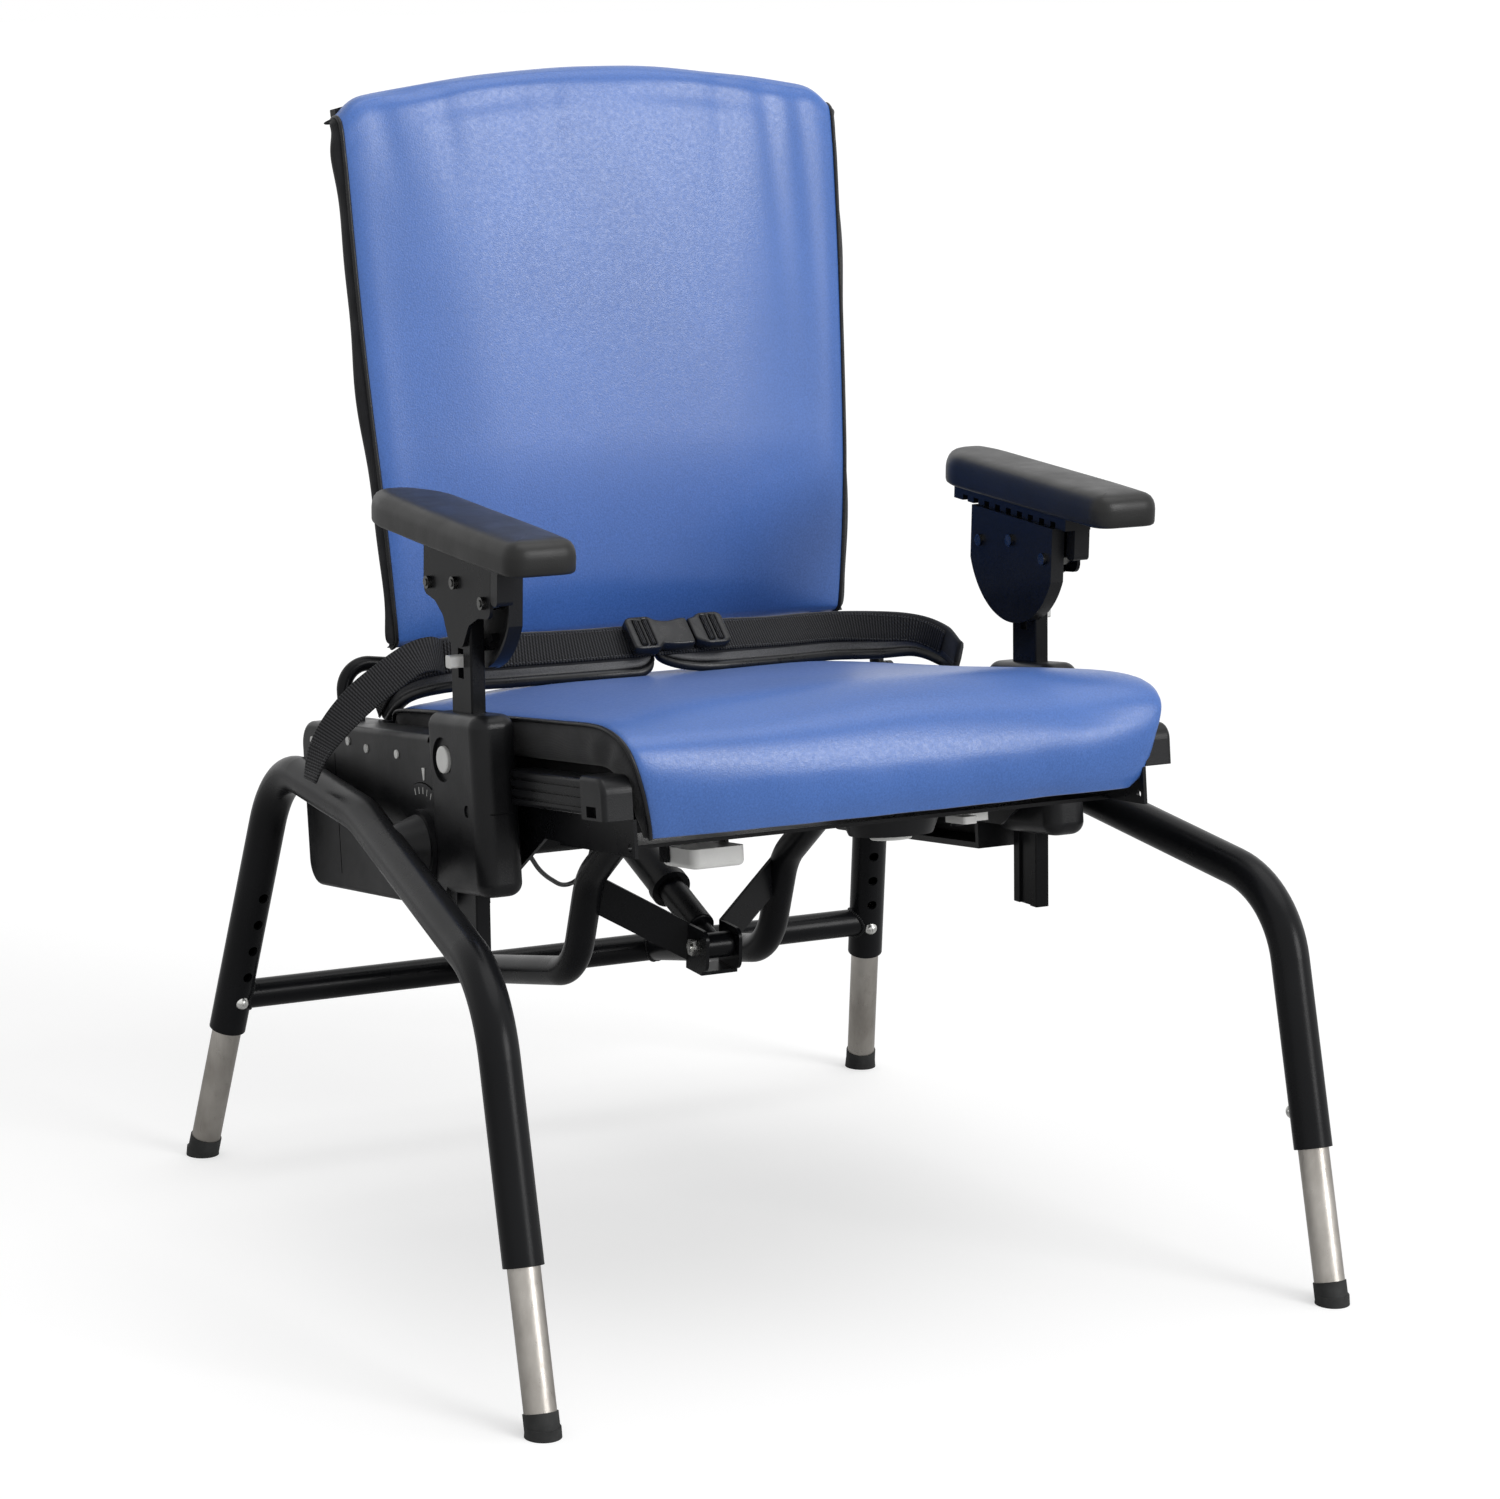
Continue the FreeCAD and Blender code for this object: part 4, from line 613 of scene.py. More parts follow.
def gathered(v, base, waves):
    """How far side cloth stands out, in metres: a base and waves (height, turns, start) along its length."""
    return base + sum(height * math.sin(v * turns + start) for height, turns, start in waves)


print("slab tools ready")

# %% [markdown]
# ## The seat cushion
# The seat is wide and flat with a deep rolled front that tucks in at its foot. Its profile is a smooth
# curve through a few points, close to the CAD solid's, and each row narrows towards the foot. Crown,
# dents and the fuller left end are formulas on top, which a sculpted mesh could not be tuned by.

# %% Seat cushion
SEAT_HALF, SEAT_HALF_LOW = 236.0, 211.0
SEAT_TOP, DROP_LOW = 106.0, 17.5
FLAT_Z, FRONT_Y = (60.0, 100.0), (130.0, 240.0)
SEAT_CROWN, SEAT_EDGE_DIP, SEAT_EDGE = 7.0, 3.0, 0.93
SIT_DIP, SIT_AT, SIT_REACH = 2.2, (0.02, -20.0), (0.42, 110.0)
FOOT_PULL, FOOT_Y, FOOT_REACH = 1.2, -296.0, 26.0
NOSE_WAVE, NOSE_ENDS_BACK, NOSE_CROWN = 1.6, 4.0, 0.7
END_FROM, END_FOOT_SHARE = 0.7, 0.15
END_FULLEST, END_FULL, END_KEPT, END_DROP, END_TUCK = 0.75, 30.0, 8.0, 16.0, 9.0
BOARD_TOP, UNDER_INSET = 71.5, 2.5
seat_face = [(150, 94), (146, 100), (132, 103.5), (90, 105), (20, 106), (-60, 107), (-130, 107.5),
             (-195, 108), (-235, 108.3), (-262, 106.5), (-282, 100.5), (-294.5, 90), (-300, 74),
             (-300.5, 58), (-297, 42), (-292, 28), (-287, 18)]
seat_under = [(y, BOARD_TOP) for y in (149, 140, 120, 80, 10, -60, -120, -175, -205, -222)]
seat_under += [(-236, 70), (-247, 66), (-256, 58), (-260, 48), (-263, 38), (-265, 27), (-266, 18)]


def seat_half(z):
    """Half width at a height: the sides draw in towards the foot of the drop."""
    return SEAT_HALF_LOW + (SEAT_HALF - SEAT_HALF_LOW) * share_of(z, DROP_LOW, SEAT_TOP)


def seat_face_at(u, v):
    """Blue face: crowned, sat in a little, wavy in front and rolled over at the sitter's left end."""
    y, z = catmull(seat_face, v)
    flat, forward, near_end = share_of(z, *FLAT_Z), share_of(-y, *FRONT_Y), share_of(u, END_FROM, 1.0)
    crown = SEAT_CROWN * (1.0 - abs(u) ** 2.4) - SEAT_EDGE_DIP * share_of(abs(u), SEAT_EDGE, 1.0) ** 2
    sit = -SIT_DIP * bell(u, SIT_AT[0], SIT_REACH[0]) * bell(y, SIT_AT[1], SIT_REACH[1])
    at_foot = bell(y, FOOT_Y, FOOT_REACH) * max(0.0, 1.0 - z / FLAT_Z[0])
    pull = FOOT_PULL * math.sin(u * 21.0 + 0.7) * at_foot
    if near_end < END_FULLEST:
        fuller = END_FULL * (near_end / END_FULLEST) ** 2
    else:
        fuller = END_KEPT + (END_FULL - END_KEPT) * math.cos((near_end - END_FULLEST) * 2.0 * math.pi)
    fuller *= forward * max(END_FOOT_SHARE, share_of(z, -6.0, 28.0))
    rolled = forward * share_of(near_end, 0.5, 1.0) ** 2
    wave = NOSE_WAVE * math.sin(u * 4.4 + 0.9) * forward * (1.0 - u * u)
    nose = NOSE_ENDS_BACK * abs(u) ** 3 - NOSE_CROWN * crown + END_TUCK * rolled
    deep = y + (1.0 - flat) * nose + pull
    high = z + flat * (crown + sit + wave - END_DROP * rolled)
    return on_seat(u * seat_half(z) + fuller, deep, high)


def seat_under_at(u, v):
    """Underside, on the board."""
    y, z = catmull(seat_under, v)
    return on_seat(u * (seat_half(z) - UNDER_INSET), y, z)


def seat_bulge(u, v):
    """The seat's side cloth wrinkles a little along its length."""
    return gathered(v, 0.0028, [(0.0012, 31.0, u * 2.0), (0.0010, 57.0, 1.3)])


seat_seams = upholster("seat_cover", seat_face_at, seat_under_at, (66, 78, 5), seat_bulge, pressure=4.0,
                       cap=0.006, node_name="seat_cushion", body="seat")

# %% [markdown]
# ## The back cushion
# The back is a tall pad, a little wider at the shoulders, with an arched top. The blue face rolls over
# the top edge. Faint folds hang from the top, where the cover is pulled over its board.

# %% Back cushion
BACK_FACE, BACK_T, BACK_LOW = 164.5, 24.0, 149.0
BACK_SHOULDER, BACK_RISE = 610.0, 28.0
BACK_HALF_LOW, BACK_HALF_HIGH = 213.0, 234.0
BACK_CROWN, BACK_EDGE_DIP, WAIST = 8.0, 4.0, 4.0
TOP_CORNER, TOP_CORNER_DIP, BACK_EDGE = 0.90, 13.0, 0.92
FOOT_RECEDE, RECEDE_UP_TO = 13.0, 0.34
REAR_INSET, REAR_SHORT, REAR_GAP = 2.0, 6.0, 0.4
CREASE_AT, CREASE_BOW, CREASE_REACH = 0.945, 0.010, 0.020
FOLDS_END, FOLD_WIDE = 0.985, 0.045
back_face = [(15, 0.0, 0.2), (5, 0.004, 1.4), (1.5, 0.02, 1.8), (0.5, 0.10, 0), (0, 0.25, 0), (0, 0.40, 0),
             (0, 0.55, 0), (0, 0.70, 0), (0.4, 0.84, 0), (1.5, 0.935, 0), (4.5, 0.98, 0), (10, 0.996, 0),
             (17, 1.0, 0), (23.5, 0.997, 0)]
BACK_FOLDS = [(-0.86, 0.04, 1.1, 0.16), (-0.62, 0.02, 1.3, 0.17), (-0.30, -0.02, 0.9, 0.22),
              (-0.18, -0.02, 1.0, 0.20), (0.52, -0.03, 1.2, 0.22), (0.70, 0.03, 1.9, 0.30),
              (0.84, 0.05, 1.5, 0.40)]


def back_half(z):
    """Half width at a height."""
    share = share_of(z, BACK_LOW, BACK_SHOULDER)
    return BACK_HALF_LOW + (BACK_HALF_HIGH - BACK_HALF_LOW) * share + WAIST * math.sin(math.pi * share)


def back_top(u):
    """Height of the arched top edge."""
    corner_dip = TOP_CORNER_DIP * share_of(abs(u), TOP_CORNER, 1.0) ** 2
    return BACK_SHOULDER + BACK_RISE * (1.0 - abs(u) ** 2.3) - corner_dip


def back_face_at(u, v):
    """Blue face: crowned, set back at the foot, with a crease and hanging folds below the top."""
    y, share, lift = catmull(back_face, v)
    z = BACK_LOW + (back_top(u) - BACK_LOW) * share
    belly = math.sin(math.pi * share_of(share, 0.0, 1.0)) ** 0.6
    edge_dip = BACK_EDGE_DIP * share_of(abs(u), BACK_EDGE, 1.0) ** 2
    crown = belly * (BACK_CROWN * (1.0 - abs(u) ** 2.6) - edge_dip)
    fold = 0.0
    if share < FOLDS_END:
        fold = FOOT_RECEDE * max(0.0, 1.0 - share / RECEDE_UP_TO) ** 1.6
        crease = bell(share, CREASE_AT - CREASE_BOW * abs(u), CREASE_REACH)
        fold += crease * (1.0 - 0.5 * math.cos(u * 7.0))
        for at, lean, deep, long in BACK_FOLDS:
            centre = at + lean * (1.0 - share) / long
            fold += deep * bell(u, centre, FOLD_WIDE) * bell(share, 1.0, long)
    return on_back(u * back_half(z), BACK_FACE + y - crown + fold, z + lift)


def back_rear_at(u, v):
    """Rear sheet, flat on the shell."""
    share = catmull(back_face, v)[1]
    z = BACK_LOW + REAR_INSET + (back_top(u) - BACK_LOW - REAR_SHORT) * share
    return on_back(u * (back_half(z) - REAR_INSET), BACK_FACE + BACK_T - REAR_GAP, z)


def back_bulge(u, v):
    """The back's side cloth is gathered more loosely than the seat's."""
    return gathered(v, 0.0075, [(0.0016, 23.0, 2.0 * u), (0.0009, 47.0, 0.6)])


back_seams = upholster("back_cover", back_face_at, back_rear_at, (66, 96, 5), back_bulge, pressure=3.5,
                       cap=0.005, node_name="back_cushion", body="back")

# %% [markdown]
# ## The hip belt's line
# The belt is two padded wings that lean back and meet behind a buckle. A strap is easiest to keep flat
# when every station carries its own axes: along the strap, across it, and out of its face. Few stations
# are given, and a smooth curve fills in the rest.

# %% Strap stations
BAND_WIDE, PER_SPAN = 52.0, 14
RIGHT_BELT = [(-225.2, 192, 97, 34, 0), (-222.5, 152, 125, 42, 6), (-196, 121, 136.2, 48, 22),
              (-150, 95, 137.6, 52, 35), (-100, 78, 137.6, 52, 37), (-58, 72, 137.6, 52, 37),
              (-31, 70.5, 137.6, 52, 37)]
LEFT_BELT = [(-27, 70.5, 137.6, 52, 37), (5, 70.5, 137.6, 52, 37), (42, 72, 137.6, 52, 37),
             (95, 79, 136.1, 50, 37), (148, 90, 135.6, 49, 35), (194, 87, 133.1, 44, 22),
             (227, 72, 130.6, 37, 6), (242, 50, 121.1, 36, 0), (243, 28, 110, 35, 0)]


def strap(line, per_span):
    """Stations (centre, across, face, width, run) along a line of x, y, z, width and lean."""
    steps = (len(line) - 1) * per_span
    dense = [catmull(line, i / steps) for i in range(steps + 1)]
    stations, run = [], 0.0
    for i, (x, y, z, width, lean) in enumerate(dense):
        here = Vector((x, y, z))
        ahead_by = Vector(dense[min(i + 1, steps)][:3]) - Vector(dense[max(i - 1, 0)][:3])
        along = ahead_by.normalized()
        hint = Vector((0.0, math.sin(math.radians(lean)), math.cos(math.radians(lean))))
        face = along.cross(hint).normalized()
        if stations:
            run += (here - stations[-1][0]).length
        stations.append((here, face.cross(along).normalized(), face, width, run))
    return stations


right_strap = strap(RIGHT_BELT, PER_SPAN)
left_strap = strap(LEFT_BELT, PER_SPAN)
print("belt wings are", round(right_strap[-1][4]), "and", round(left_strap[-1][4]), "mm long")

# %% [markdown]
# ## Padded belt wings
# Each wing is a thin foam pad in knitted cloth, with a taped lower edge and a fat glossy piping below
# it. A ring of points drawn once is swept along the stations, and each side of the ring gets a finish.

# %% Belt pads
# Coated piping: black, smooth and brighter than the cloth beside it.
finishes["piping_gloss"] = surface(
    "piping_gloss", (0.008, 0.0083, 0.0095), 0.28, specular=0.3,
    tone=(70.0, 4.0, (0.006, 0.0062, 0.0072), (0.012, 0.0124, 0.0138)),
    gloss=(160.0, 3.0, 0.24, 0.40), skin=(700.0, 2.0, 0.0002, 0.5))
# Woven edge tape, a shade greyer than the cloth.
finishes["edge_tape"] = surface(
    "edge_tape", (0.040, 0.041, 0.045), 0.42, skin=(1400.0, 2.0, 0.0003, 0.6),
    tone=(900.0, 3.0, (0.022, 0.0225, 0.025), (0.062, 0.063, 0.068)))
CLOTH, PIPE, TAPE = 0, 1, 2
PIPING = 4.3
END_ROUND = [(0.35, 1.5), (0.75, 0.8)]
FREE_LOW, FREE_HIGH, LEFT_LOW = (18.0, 15.0), (10.0, 8.0), (58.0, 20.0)
TURNS = [math.radians(a) for a in range(-35, -326, -29)]


def pad_ring(low, high):
    """Ring of (across, out) points, each with the finish of the side after it: cloth, piping or tape."""
    front = [(low + 8.8, 1.8), (low + 10.6, 3.0), (low + 15.0, 3.3), ((low + high) / 2, 3.5),
             (high - 6.0, 3.3), (high - 2.2, 2.5), (high - 0.5, 1.0)]
    rear = [(across, -out) for across, out in front[::-1]]
    pipe = [(low + PIPING + PIPING * math.cos(a), PIPING * math.sin(a)) for a in TURNS]
    kinds = [TAPE] * 2 + [CLOTH] * 11 + [PIPE] * (1 + len(pipe))
    return list(zip(front + rear + pipe, kinds))


def ring_faces(rows, size):
    """Quads between neighbouring rings of points, and a cap on each end."""
    faces = []
    for r in range(rows - 1):
        for k in range(size):
            n = (k + 1) % size
            faces.append((r * size + k, r * size + n, (r + 1) * size + n, (r + 1) * size + k))
    first = range(size)
    return faces + [tuple(first)[::-1], tuple((rows - 1) * size + k for k in first)]


def strap_uv(piece, marks):
    """UV map of a strap in metres, from one mark for each vertex."""
    layer = piece.data.uv_layers.new(name="strap")
    for loop in piece.data.loops:
        layer.data[loop.index].uv = marks[loop.vertex_index]


def sweep(name, stations, ring_at, materials, uv=False):
    """Closed skin of rings along strap stations, with both ends rounded off and capped."""
    points, marks = [], []
    last = len(stations) - 1
    rows = [(0, thin, -push) for thin, push in END_ROUND] + [(i, 1.0, 0.0) for i in range(last + 1)]
    rows += [(last, thin, push) for thin, push in END_ROUND[::-1]]
    for i, thin, push in rows:
        here, across, face, _, run = stations[i]
        along = across.cross(face)
        ring = ring_at(i)
        for (a, b), kind in ring:
            points.append(on_seat(*(here + across * a + face * (b * thin) + along * push)))
            marks.append((run * MM, a * MM))
    kinds = [kind for _, kind in ring] * (len(rows) - 1)
    piece = new_piece(name, points, ring_faces(len(rows), len(ring)), materials, kinds + kinds[:1] * 2)
    if uv:
        strap_uv(piece, marks)
    outward(piece)
    return piece


def corner(gone, long, high):
    """How far a rounded corner takes the edge in, at a distance gone from the end."""
    if gone >= long:
        return 0.0
    return high * (1.0 - math.sqrt(max(0.0, 1.0 - (1.0 - gone / long) ** 2)))


def right_ring(i):
    """Ring of the right wing, with its free end rounded."""
    width, run = right_strap[i][3], right_strap[i][4]
    gone = right_strap[-1][4] - run
    return pad_ring(-width / 2 + corner(gone, *FREE_LOW), width / 2 - corner(gone, *FREE_HIGH))


def left_ring(i):
    """Ring of the left wing, whose lower corner is cut back further."""
    width, run = left_strap[i][3], left_strap[i][4]
    return pad_ring(-width / 2 + corner(run, *LEFT_LOW), width / 2 - corner(run, *FREE_HIGH))


belt_finishes = [finishes["black_cover"], finishes["piping_gloss"], finishes["edge_tape"]]
belt_right = sweep("belt_wing_right", right_strap, right_ring, belt_finishes)
belt_left = sweep("belt_wing_left", left_strap, left_ring, belt_finishes)
for wing in (belt_right, belt_left):
    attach(wing, "seat_frame")
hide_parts("belt_pads")
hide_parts("belt_pads")
print("belt wings", len(belt_right.data.polygons) + len(belt_left.data.polygons), "faces")

# %% [markdown]
# ## Webbing and its loose tail
# The strap itself lies on the pads, and its spare end is thrown over the housing. It is one flat woven
# band, so its UV map is in metres and the ribs of the finish run straight across it wherever it turns.

# %% Webbing
WEB_WIDE, WEB_THICK, WEB_UP, WEB_LIFT = 30.0, 2.0, 6.0, 4.85
TAIL_GAP, TAIL_STEPS = 0.3, 84
TAIL = [(-212, 111, 147, 0.0, 0.35, 0.94), (-231, 109, 144, -0.15, 0.55, 0.80),
        (-254, 111, 131, -0.35, 0.55, 0.75), (-277, 115, 115, -0.42, 0.62, 0.65),
        (-298, 119, 95, -0.36, 0.78, 0.48), (-314, 123, 73, -0.16, 0.92, 0.28),
        (-322, 126, 50, 0.05, 1.0, 0.05)]


def web_ring(width):
    """Ring of a flat band with soft selvedges."""
    h, t = width / 2, WEB_THICK / 2
    ring = [(-h, -t * 0.4), (-h, t * 0.4), (-h + 1.0, t), (-h + 8.0, t), (0.0, t), (h - 8.0, t),
            (h - 1.0, t), (h, t * 0.4), (h, -t * 0.4), (h - 1.0, -t), (0.0, -t), (-h + 1.0, -t)]
    return [(point, 0) for point in ring]


def lifted(stations):
    """Stations moved up the pad and out onto its face."""
    moved = []
    for here, across, face, width, run in stations:
        share = width / BAND_WIDE
        centre = here + across * (WEB_UP * share) + face * WEB_LIFT
        moved.append((centre, across, face, WEB_WIDE * share, run))
    return moved


web_right = lifted(right_strap)
web_left = lifted(left_strap[:-PER_SPAN])
start, across, face, width, _ = right_strap[2 * PER_SPAN]
first = start + across * (WEB_UP * width / BAND_WIDE) + face * (WEB_LIFT + WEB_THICK + TAIL_GAP)
tail_line = [(*first, *across)] + TAIL
dense = [catmull(tail_line, i / (2 * TAIL_STEPS)) for i in range(2 * TAIL_STEPS + 1)]
tail = []
for i in range(0, len(dense), 2):
    values = dense[i]
    here = Vector(values[:3])
    way = Vector(dense[min(i + 1, len(dense) - 1)][:3]) - Vector(dense[max(i - 1, 0)][:3])
    out = Vector(values[3:]).cross(way).normalized()
    up = way.cross(out).normalized()
    run = 0.0 if not tail else tail[-1][4] + (here - tail[-1][0]).length
    tail.append((here, up, out, WEB_WIDE, run))
for name, stations in (("web_right", web_right), ("web_left", web_left), ("web_tail", tail)):
    web = sweep(name, stations, lambda i, s=stations: web_ring(s[i][3]), [finishes["ribbed_webbing"]],
                uv=True)
    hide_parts("belt_webbing")
    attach(web, "seat_frame")
print("webbing", [round(s[-1][4]) for s in (web_right, web_left, tail)], "mm")

# %% [markdown]
# ## The side-release buckle
# A buckle is two flat mouldings: a socket, and a plug whose prongs reach into it. A filled 2D curve with
# a small bevel draws such a moulding best, because slots are only more closed lines in the same curve.

# %% Buckle
BUCKLE_MID = Vector((-8.0, 63.55, 150.35))
BUCKLE_LEAN = math.radians(42.0)
BUCKLE_UP = Vector((0.0, math.sin(BUCKLE_LEAN), math.cos(BUCKLE_LEAN)))
BUCKLE_OUT = Vector((0.0, -math.cos(BUCKLE_LEAN), math.sin(BUCKLE_LEAN)))
CORNER_ROOM, SHARP_ANGLE = 0.48, math.radians(35)
FOLD_ROWS, FOLD_WIDTH = (-12.8, -12.2, 0.0, 12.2, 12.8), 4.6


def rounded(corners, radius, steps=5):
    """Outline with every corner rounded; a corner may carry its own radius."""
    line = []
    for i, point in enumerate(corners):
        here = Vector(point[:2])
        r = point[2] if len(point) > 2 else radius
        a = Vector(corners[i - 1][:2]) - here
        b = Vector(corners[(i + 1) % len(corners)][:2]) - here
        cut = min(r, a.length * CORNER_ROOM, b.length * CORNER_ROOM)
        p, q = here + a.normalized() * cut, here + b.normalized() * cut
        for s in range(steps + 1):
            t = s / steps
            line.append(p * (1 - t) ** 2 + here * (2 * t * (1 - t)) + q * t ** 2)
    return line


def curve_piece(name, curve, lines, closed, made):
    """Mesh object of what a bevelled curve makes of lines of points."""
    for line in lines:
        spline = curve.splines.new("POLY")
        spline.points.add(len(line) - 1)
        for point, at in zip(spline.points, line):
            point.co = (*at.to_3d(), 1.0)
        spline.use_cyclic_u = closed
    holder = bpy.data.objects.new(name, curve)
    scene.collection.objects.link(holder)
    mesh = plain_mesh(holder)
    bpy.data.objects.remove(holder)
    bpy.data.curves.remove(curve)
    mesh.name = name
    mesh.materials.clear()
    mesh.materials.append(made)
    piece = bpy.data.objects.new(name, mesh)
    scene.collection.objects.link(piece)
    return piece


def moulding(name, outlines, low, high, edge, made, place):
    """Flat moulding between two heights from closed outlines, as a mesh put in place by a function."""
    curve = bpy.data.curves.new(name, "CURVE")
    curve.dimensions = "2D"
    curve.fill_mode = "BOTH"
    curve.extrude = (high - low) / 2 - edge
    curve.bevel_depth = edge
    curve.bevel_resolution = 2
    curve.offset = -edge
    piece = curve_piece(name, curve, outlines, True, made)
    shell = bmesh.new()
    shell.from_mesh(piece.data)
    bmesh.ops.remove_doubles(shell, verts=shell.verts, dist=0.01)
    for v in shell.verts:
        v.co = place(v.co.x, v.co.y, v.co.z + (low + high) / 2)
    shell.to_mesh(piece.data)
    shell.free()
    outward(piece)
    piece.data.set_sharp_from_angle(angle=SHARP_ANGLE)
    return piece


def on_buckle(x, up, out):
    """Place a point of the buckle's own frame."""
    return on_seat(*(BUCKLE_MID + Vector((x, 0, 0)) + BUCKLE_UP * up + BUCKLE_OUT * out))


def slot_line(x0, x1, half):
    """Outline of a slot for the strap."""
    return rounded([(x0, -half), (x1, -half), (x1, half), (x0, half)], 1.5, 3)


socket_line = rounded([(-45.5, -16, 6), (-41, -17.5), (-22, -17.5, 5), (-18, -13, 4), (-6, -15.5, 6),
                       (11.5, -15.5, 3), (11.5, 13, 3), (4, 13, 5), (-7, 10.5, 12), (-18, 13, 5),
                       (-23, 17.5, 5), (-41, 17.5, 6), (-45.5, 15, 5)], 4.0)
plug_line = rounded([(12.6, -11, 3), (18, -14.5, 4), (24, -17, 4), (41, -17, 6), (45.5, -14, 5),
                     (45.5, 14, 5), (41, 17, 6), (24, 17, 4), (18, 12.5, 4), (12.6, 12, 2)], 4.0)
socket_slots = [slot_line(-38.5, -33.5, 13.5), slot_line(-30.0, -25.0, 13.5)]
plug_slots = [slot_line(25.0, 30.0, 13.0), slot_line(33.5, 38.5, 13.0)]
buckle_socket = moulding("buckle_body", [socket_line] + socket_slots, low=-5.2, high=5.4, edge=2.2,
                         made=finishes["piping_gloss"], place=on_buckle)
buckle_plug = moulding("buckle_clip", [plug_line] + plug_slots, low=-4.6, high=5.2, edge=2.2,
                       made=finishes["piping_gloss"], place=on_buckle)
for piece, node_name in ((buckle_socket, "buckle_socket"), (buckle_plug, "buckle_plug")):
    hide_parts(node_name)
    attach(piece, "seat_frame")


def strap_fold(name, x0, x1):
    """Webbing that shows in the buckle's slots, folded round the bar between them."""
    profile = [(x0, -4.0), (x0, 4.4), (x0 + 1.2, 5.8), (x1 - 1.2, 5.8), (x1, 4.4), (x1, -4.0)]
    points, marks = [], []
    for row, up in enumerate(FOLD_ROWS):
        points += [on_buckle(x, up, out) for x, out in profile]
        marks += [(k * 0.003, row * 0.006) for k in range(len(profile))]
    faces = ring_faces(len(FOLD_ROWS), len(profile))
    piece = new_piece(name, points, faces, [finishes["ribbed_webbing"]])
    strap_uv(piece, marks)
    outward(piece)
    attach(piece, "seat_frame")
    return piece


folds = [strap_fold("strap_fold_%d" % i, x0, x0 + FOLD_WIDTH)
         for i, x0 in enumerate((-38.3, -29.8, 25.2, 33.7))]
buckle_faces = [len(piece.data.polygons) for piece in (buckle_socket, buckle_plug)]
print("buckle", sum(buckle_faces), "faces,", len(folds), "folds")

# %% [markdown]
# ## Arm pads
# The arm pads are moulded foam with their own skin: flat below, with a large soft radius on top and the
# inner rear corner taken off. Rings of the outline, moved in a little more at each height, give that
# radius exactly, and the last rings close on a line along the middle with a slight crown.

# %% Arm pads
ARM_IN, ARM_OUT, ARM_LONG = 234.0, 299.0, 284.0
ARM_LOW = 610.6
SPINE_FRONT, SPINE_REAR = 34.0, 40.0
ARM_FRONT = {"left": -168.8, "right": -184.8}
ARM_LEVELS = [(7.0, 0.0), (2.2, 0.3), (0.7, 1.3), (0.1, 3.2), (0.0, 8.0), (0.0, 13.5), (0.5, 17.5),
              (1.8, 21.0), (4.0, 23.9), (7.2, 25.9), (11.0, 27.0), (15.0, 27.5)]
ARM_CROWN = [(0.35, 27.75), (0.7, 27.88), (0.96, 27.9)]


def arm_outline(front):
    """Plan of the left pad, with its corner radii, as x, y in millimetres."""
    rear = front + ARM_LONG
    return rounded([(ARM_IN + 2.0, front, 17), (ARM_OUT - 3.0, front, 17), (ARM_OUT, front + 60, 60),
                    (ARM_OUT, rear - 30, 30), (ARM_OUT - 8, rear, 16), (ARM_IN + 24, rear, 15),
                    (ARM_IN, rear - 36, 26), (ARM_IN, front + 60, 60)], 16.0, 9)


def arm_pad(side):
    """Arm pad of one side; the right one is the left one mirrored, 16 mm further forward."""
    front = ARM_FRONT[side]
    sign = 1.0 if side == "left" else -1.0
    plan = arm_outline(front)
    inward = []
    for i in range(len(plan)):
        along = plan[(i + 1) % len(plan)] - plan[i - 1]
        inward.append(Vector((-along.y, along.x)).normalized())
    middle = (ARM_IN + ARM_OUT) / 2
    points = []

    def add_ring(inset, close, height):
        for p, n in zip(plan, inward):
            q = p + n * inset
            spine = Vector((middle, min(max(q.y, front + SPINE_FRONT), front + ARM_LONG - SPINE_REAR)))
            q = q.lerp(spine, close)
            points.append(Vector((sign * q.x, q.y, height)) * MM)

    for inset, height in ARM_LEVELS:
        add_ring(inset, 0.0, ARM_LOW + height)
    for close, height in ARM_CROWN:
        add_ring(ARM_LEVELS[-1][0], close, ARM_LOW + height)
    faces = ring_faces(len(ARM_LEVELS) + len(ARM_CROWN), len(plan))
    pad = new_piece("arm_rest_" + side, points, faces, [finishes["arm_skin"]])
    outward(pad)
    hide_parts("arm_pad_" + side)
    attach(pad, "arm_head_" + side)
    return pad


arm_rests = [arm_pad(side) for side in ("left", "right")]
print("arm pads", [len(pad.data.polygons) for pad in arm_rests], "faces")

# %% [markdown]
# ## Piping on the seams
# A thin piping closes each seam between the blue face and the black side. It follows the seam points
# kept from the cushions, as a round bevelled curve turned into a mesh.

# %% Piping
PIPING_R = 0.0019


def tube(name, points, radius, made, body):
    """Round tube through points, as a mesh that rides on a body."""
    curve = bpy.data.curves.new(name, "CURVE")
    curve.dimensions = "3D"
    curve.bevel_depth = radius
    curve.bevel_resolution = 3
    curve.use_fill_caps = True
    piece = curve_piece(name, curve, [points], False, made)
    piece.data.polygons.foreach_set("use_smooth", [True] * len(piece.data.polygons))
    outward(piece)
    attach(piece, body)
    return piece


pipes = []
for body, seams in (("seat", seat_seams), ("back", back_seams)):
    for side, seam in zip(("left", "right"), seams):
        name = "%s_piping_%s" % (body, side)
        pipes.append(tube(name, seam, PIPING_R, finishes["piping_gloss"], body))
print("piping", len(pipes), "runs")

# %% [markdown]
# ## Beads and stitches with Geometry Nodes
# Weld beads, stitches and the dial's strokes all repeat one small shape along a path. One tree does
# this: it resamples a path at a fixed pitch, puts the shape at each point, turned along the path, and
# ends as plain mesh. The inputs are the pitch, the shape's size and a seed for small differences.

